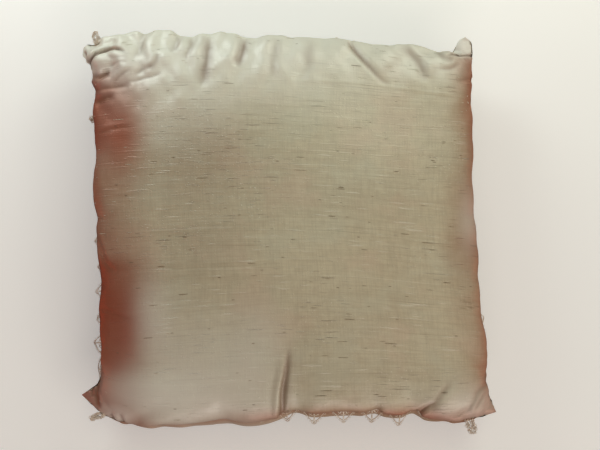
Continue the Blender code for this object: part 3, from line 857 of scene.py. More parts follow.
def crumple(seen):
    """Small soft dents along the far side, most at the top left corner."""
    draw = np.random.default_rng(61)
    height = np.zeros(len(seen))
    for _ in range(CRUMPLE_WAVES):
        heading, length = draw.normal(0.0, 0.7), draw.uniform(*CRUMPLE_LENGTHS)
        phase = seen[:, 0] * math.cos(heading) + seen[:, 1] * math.sin(heading)
        height += np.sin(2 * np.pi * (phase / length + draw.random())) * length / 14.0
    height *= CRUMPLE_DEPTH * math.sqrt(2.0 / CRUMPLE_WAVES)
    far = np.clip((seen[:, 1] - CRUMPLE_FROM) / CRUMPLE_FADE, 0, 1)
    corner = np.exp(-(((seen - CRUMPLED_CORNER) / CRUMPLED_CORNER_SIZE) ** 2).sum(axis=1))
    return height * (far + 1.6 * corner)


# Where shade and light are painted on the back in patches: (x, y, radius along x, radius along y, amount).
# Painted red-brown shade, mostly along the left, right and near edges.
PAINTED_SHADE_PATCHES = (
    (-103.5, -83, 9, 10, 1.0), (36, -94.6, 66, 5.6, 1.0), (-85, 50, 12, 22, 0.80), (-82, -44, 11, 24, 0.75),
    (95, 78, 3.5, 12, 0.45), (95, 50, 3.0, 20, 0.25), (-97, 78, 3, 3, 0.6), (-92, 74, 9, 2.5, 0.4),
    (-98, 20, 4, 26, 0.40), (-48, -99.4, 40, 3.4, 0.5), (100, -60, 4, 30, 0.25),
)
# Painted dark shade over broad shaded areas and beside the crease at the bottom.
PAINTED_SHADE_SPOTS = (
    (-48, 38, 28, 28, 0.52), (-42, -4, 20, 22, 0.20), (-0.6, -82, 2.8, 16, 0.55), (0.8, -66, 2.2, 9, 0.3),
)
# Painted light: pale patches where the cloth is most brightly lit.
PAINTED_LIGHT_PATCHES = (
    (91, 98.5, 7, 6.0, 1.0), (-66, -84, 34, 13, 0.45), (-86, -93, 12, 8, 0.6), (-68, -42, 10, 20, 0.30),
    (-80, 87, 28, 11, 0.48), (90, -87, 18, 10, 0.45), (92, 6, 6, 16, 0.35), (-40, 92, 60, 8, 0.30),
    (-104, 93, 5, 6, 0.4), (66, 88, 20, 8, 0.30),
)


def patched(seen, patches):
    """How much of a set of patches covers each place, from 0 to 1."""
    cover = np.zeros(len(seen))
    for x, y, radius_x, radius_y, amount in patches:
        away = ((seen[:, 0] - x) / radius_x) ** 2 + ((seen[:, 1] - y) / radius_y) ** 2
        cover = np.maximum(cover, amount * np.exp(-(away**1.1)))
    return cover


PATH_STEP = 0.8
RIDGE_WIDTH_SHARE = 0.75
# How wide and how strong the painted shade in a crease's groove is.
CREASE_SHADE_WIDTH_SHARE = 0.9
DEEPEST_SHADED_CREASE = 1.5


def press_creases(grid):
    """Move the back's cloth along its normals for every crease and puff; say where shade and light are
    painted on it.
    """
    seen = np.stack([grid[..., 0], grid[..., 1] + (grid[..., 2] - SEAM_Z) * LEAN], axis=-1).reshape(-1, 2)
    height = crumple(seen)
    painted_dark_shade = np.zeros(len(seen))
    for x, y, radius_x, radius_y, turn, rise in PUFFS:
        cos, sin = math.cos(math.radians(turn)), math.sin(math.radians(turn))
        off = seen - (x, y)
        u = (off[:, 0] * cos + off[:, 1] * sin) / radius_x
        v = (off[:, 1] * cos - off[:, 0] * sin) / radius_y
        height += rise * np.exp(-(u**2 + v**2))
    for line in CREASES:
        path = smooth_path(line.path, PATH_STEP)
        reach = 3 * line.width + line.gap * 2
        low, high = path.min(axis=0) - reach, path.max(axis=0) + reach
        near = np.nonzero(((seen > low) & (seen < high)).all(axis=1))[0]
        away = seen[near, None] - path[None]
        closest = np.argmin((away**2).sum(axis=-1), axis=1)
        away = away[np.arange(len(near)), closest]
        along = unit(np.gradient(path, axis=0)[closest])
        side = along[:, 0] * away[:, 1] - along[:, 1] * away[:, 0]
        past = np.abs(along[:, 0] * away[:, 0] + along[:, 1] * away[:, 1])
        share = closest / (len(path) - 1)
        taper = np.clip(share / line.fade[0], 0, 1) * np.clip((1 - share) / line.fade[1], 0, 1)
        taper = taper**0.7 * np.exp(-((past / line.width) ** 2))
        groove = -line.depth * np.exp(-((side / line.width) ** 2))
        from_ridge = (side - line.side * line.gap) / (line.gap * RIDGE_WIDTH_SHARE)
        ridge = line.ridge * np.exp(-(from_ridge**2))
        height[near] += (groove + ridge) * taper
        # Painted shade along the groove, stronger where it is deeper.
        shade_across = np.exp(-((side / (CREASE_SHADE_WIDTH_SHARE * line.width)) ** 2))
        painted_dark_shade[near] += shade_across * taper * min(line.depth, DEEPEST_SHADED_CREASE)
    # Painted shade and light, kept as point attributes.
    marks = {
        "painted_shade_patch": patched(seen, PAINTED_SHADE_PATCHES), "painted_light_patch": patched(seen, PAINTED_LIGHT_PATCHES),
        "painted_dark_shade": np.clip(painted_dark_shade + patched(seen, PAINTED_SHADE_SPOTS), 0, 1),
    }
    return grid + grid_normals(grid) * height.reshape(grid.shape[:2])[..., None], marks


PUCKER_DEPTH = 0.45
PUCKER_REACH = 9.0
PUCKER_MARGIN = 6.0
PUCKER_SPACING = (4.0, 8.5)
PUCKER_WIDTHS = (1.0, 1.9)
BACK_SEED = 11
FRONT_SEED = 12


def pucker_seam(grid, seed):
    """Small gathers that run in from the seam, uneven, where the stitches draw the cloth up."""
    draw = np.random.default_rng(seed)
    height = np.zeros(grid.shape[:2])
    for axis in (0, 1):
        for turn in (1, -1):
            from_seam = grid.swapaxes(0, axis)[::turn]
            length = run_length(from_seam[0])
            wave = np.zeros(len(length))
            at = PUCKER_MARGIN
            while at < length[-1] - PUCKER_MARGIN:
                size = draw.uniform(0.3, 1.0)
                wave -= size * np.exp(-(((length - at) / draw.uniform(*PUCKER_WIDTHS)) ** 2))
                at += draw.uniform(*PUCKER_SPACING)
            steps = np.linalg.norm(np.diff(from_seam, axis=0), axis=-1)
            depth = np.concatenate([np.zeros((1, len(length))), np.cumsum(steps, axis=0)])
            fade = np.exp(-((depth / PUCKER_REACH) ** 2))
            height += (fade * wave)[::turn].swapaxes(0, axis)
    return grid + grid_normals(grid) * (PUCKER_DEPTH * height)[..., None]


TACK_DIMPLE = 3.0
TACK_DIMPLE_RADIUS = 10.0


def cloth_coordinates(grid):
    """The cloth's own coordinates in metres, with straight weft lines along U."""
    middle_row, middle_column = grid.shape[0] // 2, grid.shape[1] // 2
    across = np.linalg.norm(np.diff(grid, axis=1), axis=-1).mean(axis=0)
    along = np.linalg.norm(np.diff(grid, axis=0), axis=-1).mean(axis=1)
    u, v = (np.concatenate([[0], np.cumsum(steps)]) for steps in (across, along))
    u, v = np.meshgrid(u - u[middle_column], v - v[middle_row])
    return np.stack([u, v + row_waves(grid)], axis=-1) * MM


def row_waves(grid):
    """How far each point's Y lies from a gentle curve through its row."""
    place = np.linspace(-1, 1, grid.shape[1])
    curves = np.polynomial.polynomial.polyfit(place, grid[..., 1].T, 4)
    return grid[..., 1] - np.polynomial.polynomial.polyval(place, curves)


def padded_face(name, grid, turned, material, node):
    """A padded piece of a grid of points, with the cloth's coordinates as its UV map."""
    quads = grid_quads(point_numbers(*grid.shape[:2]), turned)
    made = mesh_object(name, grid.reshape(-1, 3), quads, material)
    write_uv(made.data, "cloth", cloth_coordinates(grid))
    keep(made, node)
    return made


# The faces stay this far apart, less near the seam.
LEAST_ROOM = 1.4
LEAST_ROOM_STEP = 0.25


def shape_cover():
    """The finished grids of the back and the front, and the painted shade and light of the back."""
    points, quads, back_index, front_index = sewn_shell(cover_face(1), cover_face(-1))
    moved = np.zeros_like(points)
    rims = (back_index[0], back_index[-1], back_index[:, 0], back_index[:, -1])
    moved = blow_up(points, quads, np.unique(np.concatenate(rims))) - points
    back = points[back_index] + edge_wrinkles(moved[back_index])
    front = points[front_index] + edge_wrinkles(moved[front_index])
    back, marks = press_creases(pucker_seam(finer_grid(back, FINE_LEVELS), BACK_SEED))
    front = pucker_seam(finer_grid(front, FINE_LEVELS), FRONT_SEED)
    front[..., 2] = np.maximum(front[..., 2], BELLY_Z)
    from_tacks = np.hypot(front[..., 0], front[..., 1]) / TACK_DIMPLE_RADIUS
    front[..., 2] += TACK_DIMPLE * np.exp(-(from_tacks**2)) * (front[..., 2] < SEAM_Z)
    steps = np.arange(len(back))
    from_edge = np.minimum(steps, steps[::-1])
    from_edge = np.minimum(from_edge[None, :], from_edge[:, None])
    room = np.minimum(LEAST_ROOM_STEP * from_edge, LEAST_ROOM)
    front[..., 2] -= np.maximum(room - (back[..., 2] - front[..., 2]), 0)
    return back, front, marks


def make_cover(back, front, marks):
    """Both silk panels; the painted marks of shade and light are kept with the back's points, and the front
    has none.
    """
    silk = silk_material()
    for name, node, grid, turned, share in (
        ("silk_back", "back_panel", back, False, 1.0),
        ("silk_front", "front_panel", front, True, 0.0),
    ):
        made = padded_face(name, grid, turned, silk, node)
        for mark, amount in marks.items():
            layer = made.data.attributes.new(mark, "FLOAT", "POINT")
            layer.data.foreach_set("value", amount * share)


LINER_INSET = 1.8
LINER_DRAW = 2.0
FILLING_INSET = 3.0
FILLING_DRAW = 4.5
LINER_STEP = 3
CORNER_DRAW = 0.10


def inner_grid(grid, other, inset):
    """A coarser grid set in from a face along its normals, or halfway to the other face if it is close."""
    outer = grid[::LINER_STEP, ::LINER_STEP]
    facing = other[::LINER_STEP, ::LINER_STEP]
    outward = grid_normals(grid)[::LINER_STEP, ::LINER_STEP]
    if grid[..., 2].mean() < SEAM_Z:
        outward = -outward
    apart = np.linalg.norm(outer - facing, axis=-1, keepdims=True)
    room = np.clip((apart / inset - 2.0) / 3.0, 0, 1)
    return (outer + facing) / 2 * (1 - room) + (outer - outward * inset) * room


def shrink_to_middle(grid, inset):
    """Draw a grid's outline in by an inset, more at the corners, and what lies inside in proportion."""
    half = (grid.reshape(-1, 3).max(axis=0) - grid.reshape(-1, 3).min(axis=0))[:2] / 2
    grid[..., :2] *= 1 - inset / half
    share = np.sin(np.pi / 2 * np.linspace(-1, 1, len(grid)))
    corner = np.abs(share[:, None] * share[None, :]) ** 7
    grid[..., :2] *= 1 - CORNER_DRAW * corner[..., None]
    return grid


def make_inner_pad(back, front):
    """The muslin pad and the fibre inside it."""
    muslin = muslin_material()
    for name, node, grid, other, turned in (
        ("muslin_back", "liner_back", back, front, False),
        ("muslin_front", "liner_front", front, back, True),
    ):
        face = shrink_to_middle(inner_grid(grid, other, LINER_INSET), LINER_DRAW)
        padded_face(name, face, turned, muslin, node)
    upper = shrink_to_middle(inner_grid(back, front, FILLING_INSET), FILLING_DRAW)
    lower = shrink_to_middle(inner_grid(front, back, FILLING_INSET), FILLING_DRAW)
    points, quads = sewn_shell(upper, lower)[:2]
    filling = mesh_object("fibre_filling", points, quads, fibre_material())
    keep(filling, "filling")


# ---------------------------------------------------------------- threads


LEAF_SIDES = 8
LEAF_RINGS = 9
LEAF_RIBS = 0.12


def ring_quads(rings, sides):
    """Quads of a tube of rings that have the same number of points each."""
    rows = np.arange(rings - 1)[:, None] * sides
    first, second = np.arange(sides)[None], (np.arange(sides)[None] + 1) % sides
    quads = np.stack([rows + first, rows + second, rows + sides + second, rows + sides + first], axis=-1)
    return quads.reshape(-1, 4)


class ThreadWork:
    """Collects tubes and leaves in one mesh."""

    def __init__(self):
        self.points = []
        self.quads = []
        self.count = 0

    def add(self, points, quads):
        """Add a body's points and quads."""
        self.points.append(points)
        self.quads.append(quads + self.count)
        self.count += len(points)

    def tube(self, path, radius, sides=5, up=(0.0, 0.0, 1.0)):
        """A thread along a path, its radius one number or one for each point, with pointed ends."""
        path = np.array(path, float)
        along = unit(np.gradient(path, axis=0))
        side = unit(np.cross(along, up))
        other = np.cross(side, along)
        radius = np.broadcast_to(radius, len(path)).astype(float).copy()
        radius[0] *= 0.5
        radius[-1] *= 0.5
        turn = 2 * np.pi * np.arange(sides) / sides
        ring = side[:, None] * np.cos(turn)[None, :, None] + other[:, None] * np.sin(turn)[None, :, None]
        points = (path[:, None] + ring * radius[:, None, None]).reshape(-1, 3)
        ends = np.stack([path[0] - along[0] * radius[0], path[-1] + along[-1] * radius[-1]])
        first = np.arange(sides)
        second = (first + 1) % sides
        last = len(points) - sides
        start, end = np.full(sides, len(points)), np.full(sides, len(points) + 1)
        caps = [np.stack([start, second, first, first], axis=-1),
                np.stack([end, last + first, last + second, last + second], axis=-1)]
        self.add(np.concatenate([points, ends]), np.concatenate([ring_quads(len(path), sides), *caps]))

    def twisted(self, path, radius, pitch, up=(0.0, 0.0, 1.0)):
        """Two threads twisted around each other along a path."""
        path = smooth_path(path, pitch / 5)
        length = run_length(path)
        along = unit(np.gradient(path, axis=0))
        side = np.cross(along, up)
        other = np.cross(side, along)
        for start in (0.0, np.pi):
            turn = (2 * np.pi * length / pitch + start)[:, None]
            self.tube(path + radius * (side * np.cos(turn) + other * np.sin(turn)), radius, 4, up)

    def leaf(self, base, tip, width, thickness):
        """A woven leaf, fullest in its middle, in the plane of the work."""
        base, tip = np.array(base, float), np.array(tip, float)
        along = tip - base
        across = np.array([-along[1], along[0], 0.0])
        across *= width / 2 / np.linalg.norm(across)
        share = np.linspace(0, 1, LEAF_RINGS)[:, None, None]
        turn = (2 * np.pi * np.arange(LEAF_SIDES) / LEAF_SIDES)[None, :, None]
        girth = np.sin(np.pi * np.clip(share, 0.04, 0.96)) ** 0.7
        ribbed = 1 + LEAF_RIBS * np.cos(np.pi * np.arange(LEAF_RINGS))[:, None, None]
        points = base + along * share + across * np.cos(turn) * girth
        points = points + np.array([0, 0, thickness / 2]) * np.sin(turn) * girth * ribbed
        start_cap = np.array([[7, 6, 1, 0], [6, 5, 2, 1], [5, 4, 3, 2]])
        end_cap = start_cap[:, ::-1] + (LEAF_RINGS - 1) * LEAF_SIDES
        quads = np.concatenate([ring_quads(LEAF_RINGS, LEAF_SIDES), start_cap, end_cap])
        self.add(points.reshape(-1, 3), quads)

    def mesh(self, name, material):
        """An object of everything collected."""
        quads = np.concatenate(self.quads)
        faces = [quad[:3] if quad[2] == quad[3] else quad for quad in quads.tolist()]
        return mesh_object(name, np.concatenate(self.points), faces, material)


# ---------------------------------------------------------------- lace edging

LACE_REPEAT = 15.2
LACE_THREAD = 0.15
FOOTSIDE = (-1.2, 0.0, 0.45)
GROUND_ROWS = ((0.45, 1.5), (1.5, 2.5))
GROUND_CELLS = 10
GROUND_EDGE = 2.55
FAN_PLACE = (LACE_REPEAT / 2, 2.8)
FAN_RADIUS = 3.5
FAN_LEAVES = (-66, -33, 0, 33, 66)
POINT_REACH = 10.6
PICOT_RADIUS = 0.42
POINT_LOOP_RADIUS = 0.85
CORNER_SHARE = 0.94
TUFT_LOOPS = 9


def arc(middle, radius, start, end, steps):
    """Points around a middle in the plane of the work, angles in degrees from straight out."""
    turn = np.radians(np.linspace(start, end, steps))
    x, y = middle
    return np.stack([x + radius * np.sin(turn), y + radius * np.cos(turn), np.zeros(steps)], axis=-1)


def on_arc(middle, radius, turn):
    """One point of an arc."""
    return arc(middle, radius, turn, turn, 1)[0]


def lace_repeat():
    """One repeat of the lace, flat: along the edge, out from the seam, and up, in millimetres."""
    work = ThreadWork()
    # Footside: a plait and a straight passing thread, caught in the seam.
    for out in FOOTSIDE:
        work.tube([(x, out, 0) for x in np.linspace(0, LACE_REPEAT, 9)], LACE_THREAD)
    pitch = LACE_REPEAT / GROUND_CELLS
    for cell in range(GROUND_CELLS):
        x = cell * pitch
        work.tube([(x, -1.2, 0.1), (x + pitch, 0.0, -0.1)], LACE_THREAD * 0.8)
        work.tube([(x, 0.0, -0.1), (x + pitch, -1.2, 0.1)], LACE_THREAD * 0.8)
        # Ground: a net of crossing threads.
        for low, high in GROUND_ROWS:
            work.tube([(x, low, 0.1), (x + pitch / 2, high, -0.1), (x + pitch, low, 0.1)], LACE_THREAD * 0.8)
    work.tube([(x, GROUND_EDGE, 0) for x in np.linspace(0, LACE_REPEAT, 9)], LACE_THREAD * 1.2)
    x, y = FAN_PLACE
    # Fan: leaves that spread from the ground to an arc.
    for turn in FAN_LEAVES:
        work.leaf(on_arc(FAN_PLACE, 0.5, turn), on_arc(FAN_PLACE, FAN_RADIUS - 0.1, turn), 1.15, 0.45)
    work.twisted(arc(FAN_PLACE, FAN_RADIUS, -96, 96, 12), LACE_THREAD * 0.85, 1.3)
    reach = LACE_REPEAT / 2 - 0.5
    for side in (-1, 1):
        # A plait that leaves the ground at the valley and meets the other one at the point.
        path = [(x + side * reach, 2.6, 0), (x + side * (reach - 1.4), 4.4, 0.1), (x + side * 3.6, 6.5, 0.1),
                (x + side * 1.9, POINT_REACH - 2.2, 0), (x + side * 0.2, POINT_REACH - 1.3, 0)]
        work.twisted(path, LACE_THREAD * 0.95, 1.3)
        # Picots on the plait's outer side.
        curve = smooth_path(path, 1.55)
        for before, here, after in zip(curve[:-2], curve[1:-1], curve[2:]):
            step = after - before
            outward = unit(np.array([-step[1], step[0], 0.0]) * -side)
            middle = here + outward * (PICOT_RADIUS + 0.2)
            heading = math.degrees(math.atan2(outward[0], outward[1]))
            work.tube(arc(middle[:2], PICOT_RADIUS, heading - 160, heading + 160, 8), LACE_THREAD * 0.7, 4)
        # A bar that ties the fan to the plait, and a short leaf under the plait, near the valley.
        work.tube([on_arc(FAN_PLACE, FAN_RADIUS, side * 38), (x + side * 3.0, 7.1, 0)], LACE_THREAD)
        work.leaf((x + side * (reach - 0.4), 2.9, 0), (x + side * (reach - 2.6), 4.7, 0), 0.9, 0.4)
    work.leaf((x, y + FAN_RADIUS, 0), (x, POINT_REACH - 1.4, 0), 0.8, 0.4)
    # Three loops at the point.
    for turn in (-62, 0, 62):
        middle = on_arc((x, POINT_REACH - 1.2), POINT_LOOP_RADIUS, turn)
        loop = arc(middle[:2], POINT_LOOP_RADIUS * 0.72, turn - 175, turn + 175, 10)
        work.twisted(loop, LACE_THREAD * 0.7, 0.9)
    # A picot in the valley.
    work.tube(arc((0.0, 3.2), 0.55, -150, 150, 8), LACE_THREAD * 0.8, 4)
    return np.concatenate(work.points), np.concatenate(work.quads)


LACE_SMOOTHING = 12
HEADING_SMOOTHING = 200
HIDDEN_INWARD = 2.0
HIDDEN_DOWN = 1.2
LEVEL_STRIP = 2.5
WAVE_DEGREES = 5.0
FLUTTER = 0.35
FLUTTER_LENGTH = 5.3


def smooth_line(line, passes):
    """A line of points with its small waves taken out, its ends held."""
    line = line.copy()
    for _ in range(passes):
        line[1:-1] = (line[:-2] + 2 * line[1:-1] + line[2:]) / 4
    return line


def hang_lace(points, seam, outward, droop, seed):
    """Bend flat lace along a seam: it leaves the seam and droops, in uneven waves.

    droop holds (place along the side, degrees below level, share of its full reach) sets.
    """
    draw = np.random.default_rng(seed)
    line = smooth_line(seam, LACE_SMOOTHING)
    length = run_length(line)
    along, out, up = points.T
    place = at_lengths(along, length, line)
    heading = unit(np.cross(np.gradient(smooth_line(seam, HEADING_SMOOTHING), axis=0), (0, 0, 1)))
    heading *= np.sign(heading @ outward)[:, None]
    heading = at_lengths(along, length, heading)
    waves = sum(
        draw.uniform(0.5, 1.0) * np.sin(2 * np.pi * (along / draw.uniform(13, 46) + draw.uniform()))
        for _ in range(4)
    )
    side_place = place @ np.abs(outward)[[1, 0, 2]]
    places, degrees, shares = zip(*droop)
    hanging = np.interp(side_place, places, degrees)
    reach = np.interp(side_place, places, shares)
    out = out * reach
    standing = np.clip(out, 0, None) / POINT_REACH
    place = place - (heading * HIDDEN_INWARD + (0, 0, HIDDEN_DOWN)) * (1 - reach)[:, None]
    angle = np.radians(hanging + WAVE_DEGREES * waves)
    angle = angle * np.clip(out / LEVEL_STRIP, 0, 1) * (0.55 + 0.45 * standing)
    above = up + FLUTTER * np.sin(2 * np.pi * (along / FLUTTER_LENGTH + 0.3 * waves)) * standing
    place = place + heading * (out * np.cos(angle) + above * np.sin(angle))[:, None]
    place[:, 2] += above * np.cos(angle) - out * np.sin(angle)
    return place


LACE_SIDES = (
    # node, end of the back's grid, outward direction, repeats, seed, droop and reach along the side
    ("lace_top", "top", (0, 1, 0), 13, 21,
     ((-105, 84, 0.4), (-80, 80, 0.8), (70, 80, 0.8), (90, 90, 0.3), (105, 90, 0.3))),
    ("lace_bottom", "bottom", (0, -1, 0), 13, 22,
     ((-105, 90, 0.2), (-62, 88, 0.3), (-30, 70, 0.6), (-8, 44, 1), (8, 18, 1), (58, 20, 1), (68, 60, 0.7),
      (76, 90, 0.3), (105, 90, 0.2))),
    ("lace_left", "left", (-1, 0, 0), 12, 23,
     ((-85, 90, 0.2), (-70, 70, 0.7), (-62, 40, 1), (-8, 34, 1), (6, 60, 1), (50, 70, 0.9), (66, 90, 0.4),
      (94, 90, 0.2))),
    ("lace_right", "right", (1, 0, 0), 12, 24,
     ((-92, 90, 0.2), (-58, 80, 0.6), (-44, 54, 1), (-26, 52, 1), (-10, 62, 0.9), (4, 50, 1), (18, 76, 0.8),
      (60, 86, 0.6), (80, 90, 0.2), (101, 90, 0.2))),
)

# Crumpled lace that stands out at three corners and once on the left side: node, foot, direction,
# length, width, seed.
LACE_TUFTS = (
    ("lace_top", (-99.0, 97.6, 27), (-0.16, 1.0, 0.02), 7.4, 3.6, 71),
    ("lace_bottom", (89.8, -93.2, 21), (0.36, -1.0, -0.06), 9.6, 4.6, 72),
    ("lace_bottom", (-91.4, -92.0, 18), (-1.0, -0.30, -0.1), 8.5, 2.8, 73),
    ("lace_left", (-99.0, 60.0, 21), (-1.0, -0.1, 0.1), 3.6, 3.0, 74),
)


def lace_tuft(work, foot, direction, length, width, seed):
    """A tuft of crumpled loops that points one way from its foot."""
    draw = np.random.default_rng(seed)
    direction = unit(np.array(direction, float))
    side = unit(np.cross(direction, (0, 0, 1)))
    for _ in range(int(TUFT_LOOPS * length)):
        share = draw.random()
        girth = width / 2 * math.sin(math.pi * (0.12 + 0.76 * share)) ** 0.7
        middle = np.array(foot) + direction * length * share
        middle = middle + side * draw.uniform(-1, 1) * girth + (0, 0, draw.normal(0, 0.5))
        first, second = np.linalg.qr(draw.normal(size=(3, 2)) * [[1], [1], [0.55]])[0].T
        radius = draw.uniform(0.35, 0.8)
        angles = np.linspace(0, 2 * np.pi, 10)[:, None]
        work.tube(middle + radius * (first * np.cos(angles) + second * np.sin(angles)), LACE_THREAD, 4)


def make_lace(back):
    """The lace edging on all four sides, with its crumpled tufts."""
    seams = {"top": back[-1], "bottom": back[0], "left": back[:, 0], "right": back[:, -1]}
    cotton = cotton_thread_material("lace_cotton", (0.94, 0.85, 0.74), (0.82, 0.68, 0.56), 2600.0, 0.00006)
    flat, quads = lace_repeat()
    for node, side, outward, repeats, seed, droop in LACE_SIDES:
        seam = seams[side]
        length = run_length(smooth_line(seam, LACE_SMOOTHING))[-1]
        start = length * (1 - CORNER_SHARE)
        stretch = length * (2 * CORNER_SHARE - 1) / (repeats * LACE_REPEAT)
        work = ThreadWork()
        for repeat in range(repeats):
            points = flat.copy()
            points[:, 0] = start + (points[:, 0] + repeat * LACE_REPEAT) * stretch
            work.add(hang_lace(points, seam, np.array(outward, float), droop, seed), quads)
        for tuft_node, *tuft in LACE_TUFTS:
            if tuft_node == node:
                lace_tuft(work, *tuft)
        keep(work.mesh(node.replace("lace_", "bobbin_lace_"), cotton), node)


# ---------------------------------------------------------------- seam and closing stitches

SEAM_STITCH = 2.4
STITCH_STEPS = 6
STITCH_ARCH = 0.10
SEAM_THREAD_RADIUS = 0.16
CLOSING_FROM = 0.0
CLOSING_TO = 44.0
CLOSING_PITCH = 2.9


def make_seam_stitches(back, thread):
    """The machine seam: short straight stitches that sink in where the cloth is pierced."""
    draw = np.random.default_rng(31)
    work = ThreadWork()
    for line in (back[0], back[-1], back[:, 0], back[:, -1]):
        path = smooth_path(smooth_line(line, 6)[::6], SEAM_STITCH / STITCH_STEPS)
        for start in range(STITCH_STEPS, len(path) - 2 * STITCH_STEPS, STITCH_STEPS):
            stitch = path[start:start + STITCH_STEPS].copy()
            share = np.linspace(0, 1, STITCH_STEPS)
            stitch[:, 2] += STITCH_ARCH * np.sin(np.pi * share) + draw.normal(0, 0.02)
            work.tube(stitch[:-1], SEAM_THREAD_RADIUS, 5)
    keep(work.mesh("seam_stitches", thread), "seam_thread")


def make_closing_stitches(back, thread):
    """The hand stitches that close the bottom side, slanted, a little uneven."""
    draw = np.random.default_rng(32)
    work = ThreadWork()
    seam = back[0]
    x = CLOSING_FROM
    while x < CLOSING_TO:
        foot = at_lengths(x, seam[:, 0], seam)
        lean = draw.uniform(0.6, 1.1)
        rise = draw.uniform(0.9, 1.3)
        path = [foot + (-lean, 0.35, -rise), foot + (-lean / 2, -0.25, -rise / 2), foot + (0, -0.42, 0),
                foot + (lean / 2, -0.25, rise / 2), foot + (lean, 0.35, rise)]
        work.tube(smooth_path(path, 0.35), SEAM_THREAD_RADIUS * 1.1, 6, (1.0, 0.0, 0.0))
        x += CLOSING_PITCH * draw.uniform(0.8, 1.2)
    keep(work.mesh("closing_stitches", thread), "closing_thread")


def make_stitches(back):
    """The machine seam and the hand-closed stretch, in thread a shade lighter than the cover."""
    thread = cotton_thread_material("sewing_thread", (0.74, 0.66, 0.50), (0.62, 0.53, 0.38), 3200.0, 0.00005)
    make_seam_stitches(back, thread)
    make_closing_stitches(back, thread)


# ---------------------------------------------------------------- slubs in the weft

# Grid steps of the back that a slub may start in: low and high row, low and high column, and how many.
DARK_SLUBS = ((40, 150, 40, 266, 60), (120, 200, 60, 266, 45), (200, 270, 50, 266, 22))
PALE_SLUBS = ((40, 285, 30, 268, 90), (150, 290, 35, 120, 40), (200, 285, 180, 268, 50))
SLUB_LENGTHS = (1.0, 7.0)
SLUB_RADII = (0.06, 0.15)
SLUB_COLUMNS = 24
SLUB_LIFT = 0.35
SLUB_STEP = 0.4


def make_slubs(back):
    """Thick places in the weft yarn, as spindles that lie half sunk in the cloth."""
    normals = grid_normals(back)
    straight = back - unit(np.gradient(back, axis=0)) * row_waves(back)[..., None]
    for name, areas, colour, seed in (
        ("dark_slubs", DARK_SLUBS, (0.26, 0.17, 0.095), 41),
        ("pale_slubs", PALE_SLUBS, (0.74, 0.68, 0.55), 42),
    ):
        draw = np.random.default_rng(seed)
        work = ThreadWork()
        for low_row, high_row, low_column, high_column, count in areas:
            for _ in range(count):
                row, column = draw.integers(low_row, high_row), draw.integers(low_column, high_column)
                length = SLUB_LENGTHS[0] + (SLUB_LENGTHS[1] - SLUB_LENGTHS[0]) * draw.random() ** 2
                radius = draw.uniform(*SLUB_RADII)
                run = np.s_[row, column:column + SLUB_COLUMNS]
                line = straight[run] + normals[run] * radius * SLUB_LIFT
                path = smooth_path(line, SLUB_STEP)[:max(5, int(length / SLUB_STEP))]
                girth = np.sin(np.pi * np.linspace(0.06, 0.94, len(path))) ** 0.6
                girth *= draw.uniform(0.75, 1.0, len(path))
                work.tube(path, radius * girth, 6)
        keep(work.mesh(name, slub_yarn_material(name + "_yarn", colour)))


# ---------------------------------------------------------------- ring ribbons

RIBBON_WIDTH = 10.0
RIBBON_THICKNESS = 0.30
RIBBON_HALF_LENGTH = 62.0
RIBBON_LENGTH = 131.0
RIBBON_OFFSET = 7.0
RIBBON_BOW = 18.0
RIBBON_SLANT = 4.0
RIBBON_CLEARANCE = 0.25
PINCHED_SHARE = 0.6
PINCH_LENGTH = 7.0
RIBBON_ROWS = 150
RIBBON_COLUMNS = 14
RIBBON_SWAY = 0.10
PLEAT_HEIGHT = 0.35
PLEAT_TURNS = 9.0
FOLLOWS_FRONT = 0.55
LEAST_THICKNESS = 0.12
SELVEDGE_FROM = 0.93
SELVEDGE_EXTRA = 0.25
TACK_RADIUS = 0.2
TACK_OVERLAP = 0.9
WRAP_RADIUS = 0.14
WRAP_PITCH = 0.5


def front_height(front, x, y):
    """Height of the front cloth over the floor at places in plan."""
    cloth = front.reshape(-1, 3)
    cloth = cloth[(np.abs(cloth[:, 0]) < 50) & (np.abs(cloth[:, 1]) < 80)]
    away = np.hypot(x[:, None] - cloth[None, :, 0], y[:, None] - cloth[None, :, 1])
    nearest = np.argpartition(away, 4, axis=1)[:, :4]
    weight = 1 / (np.take_along_axis(away, nearest, axis=1) + 0.05)
    return (cloth[nearest, 2] * weight).sum(axis=1) / weight.sum(axis=1)


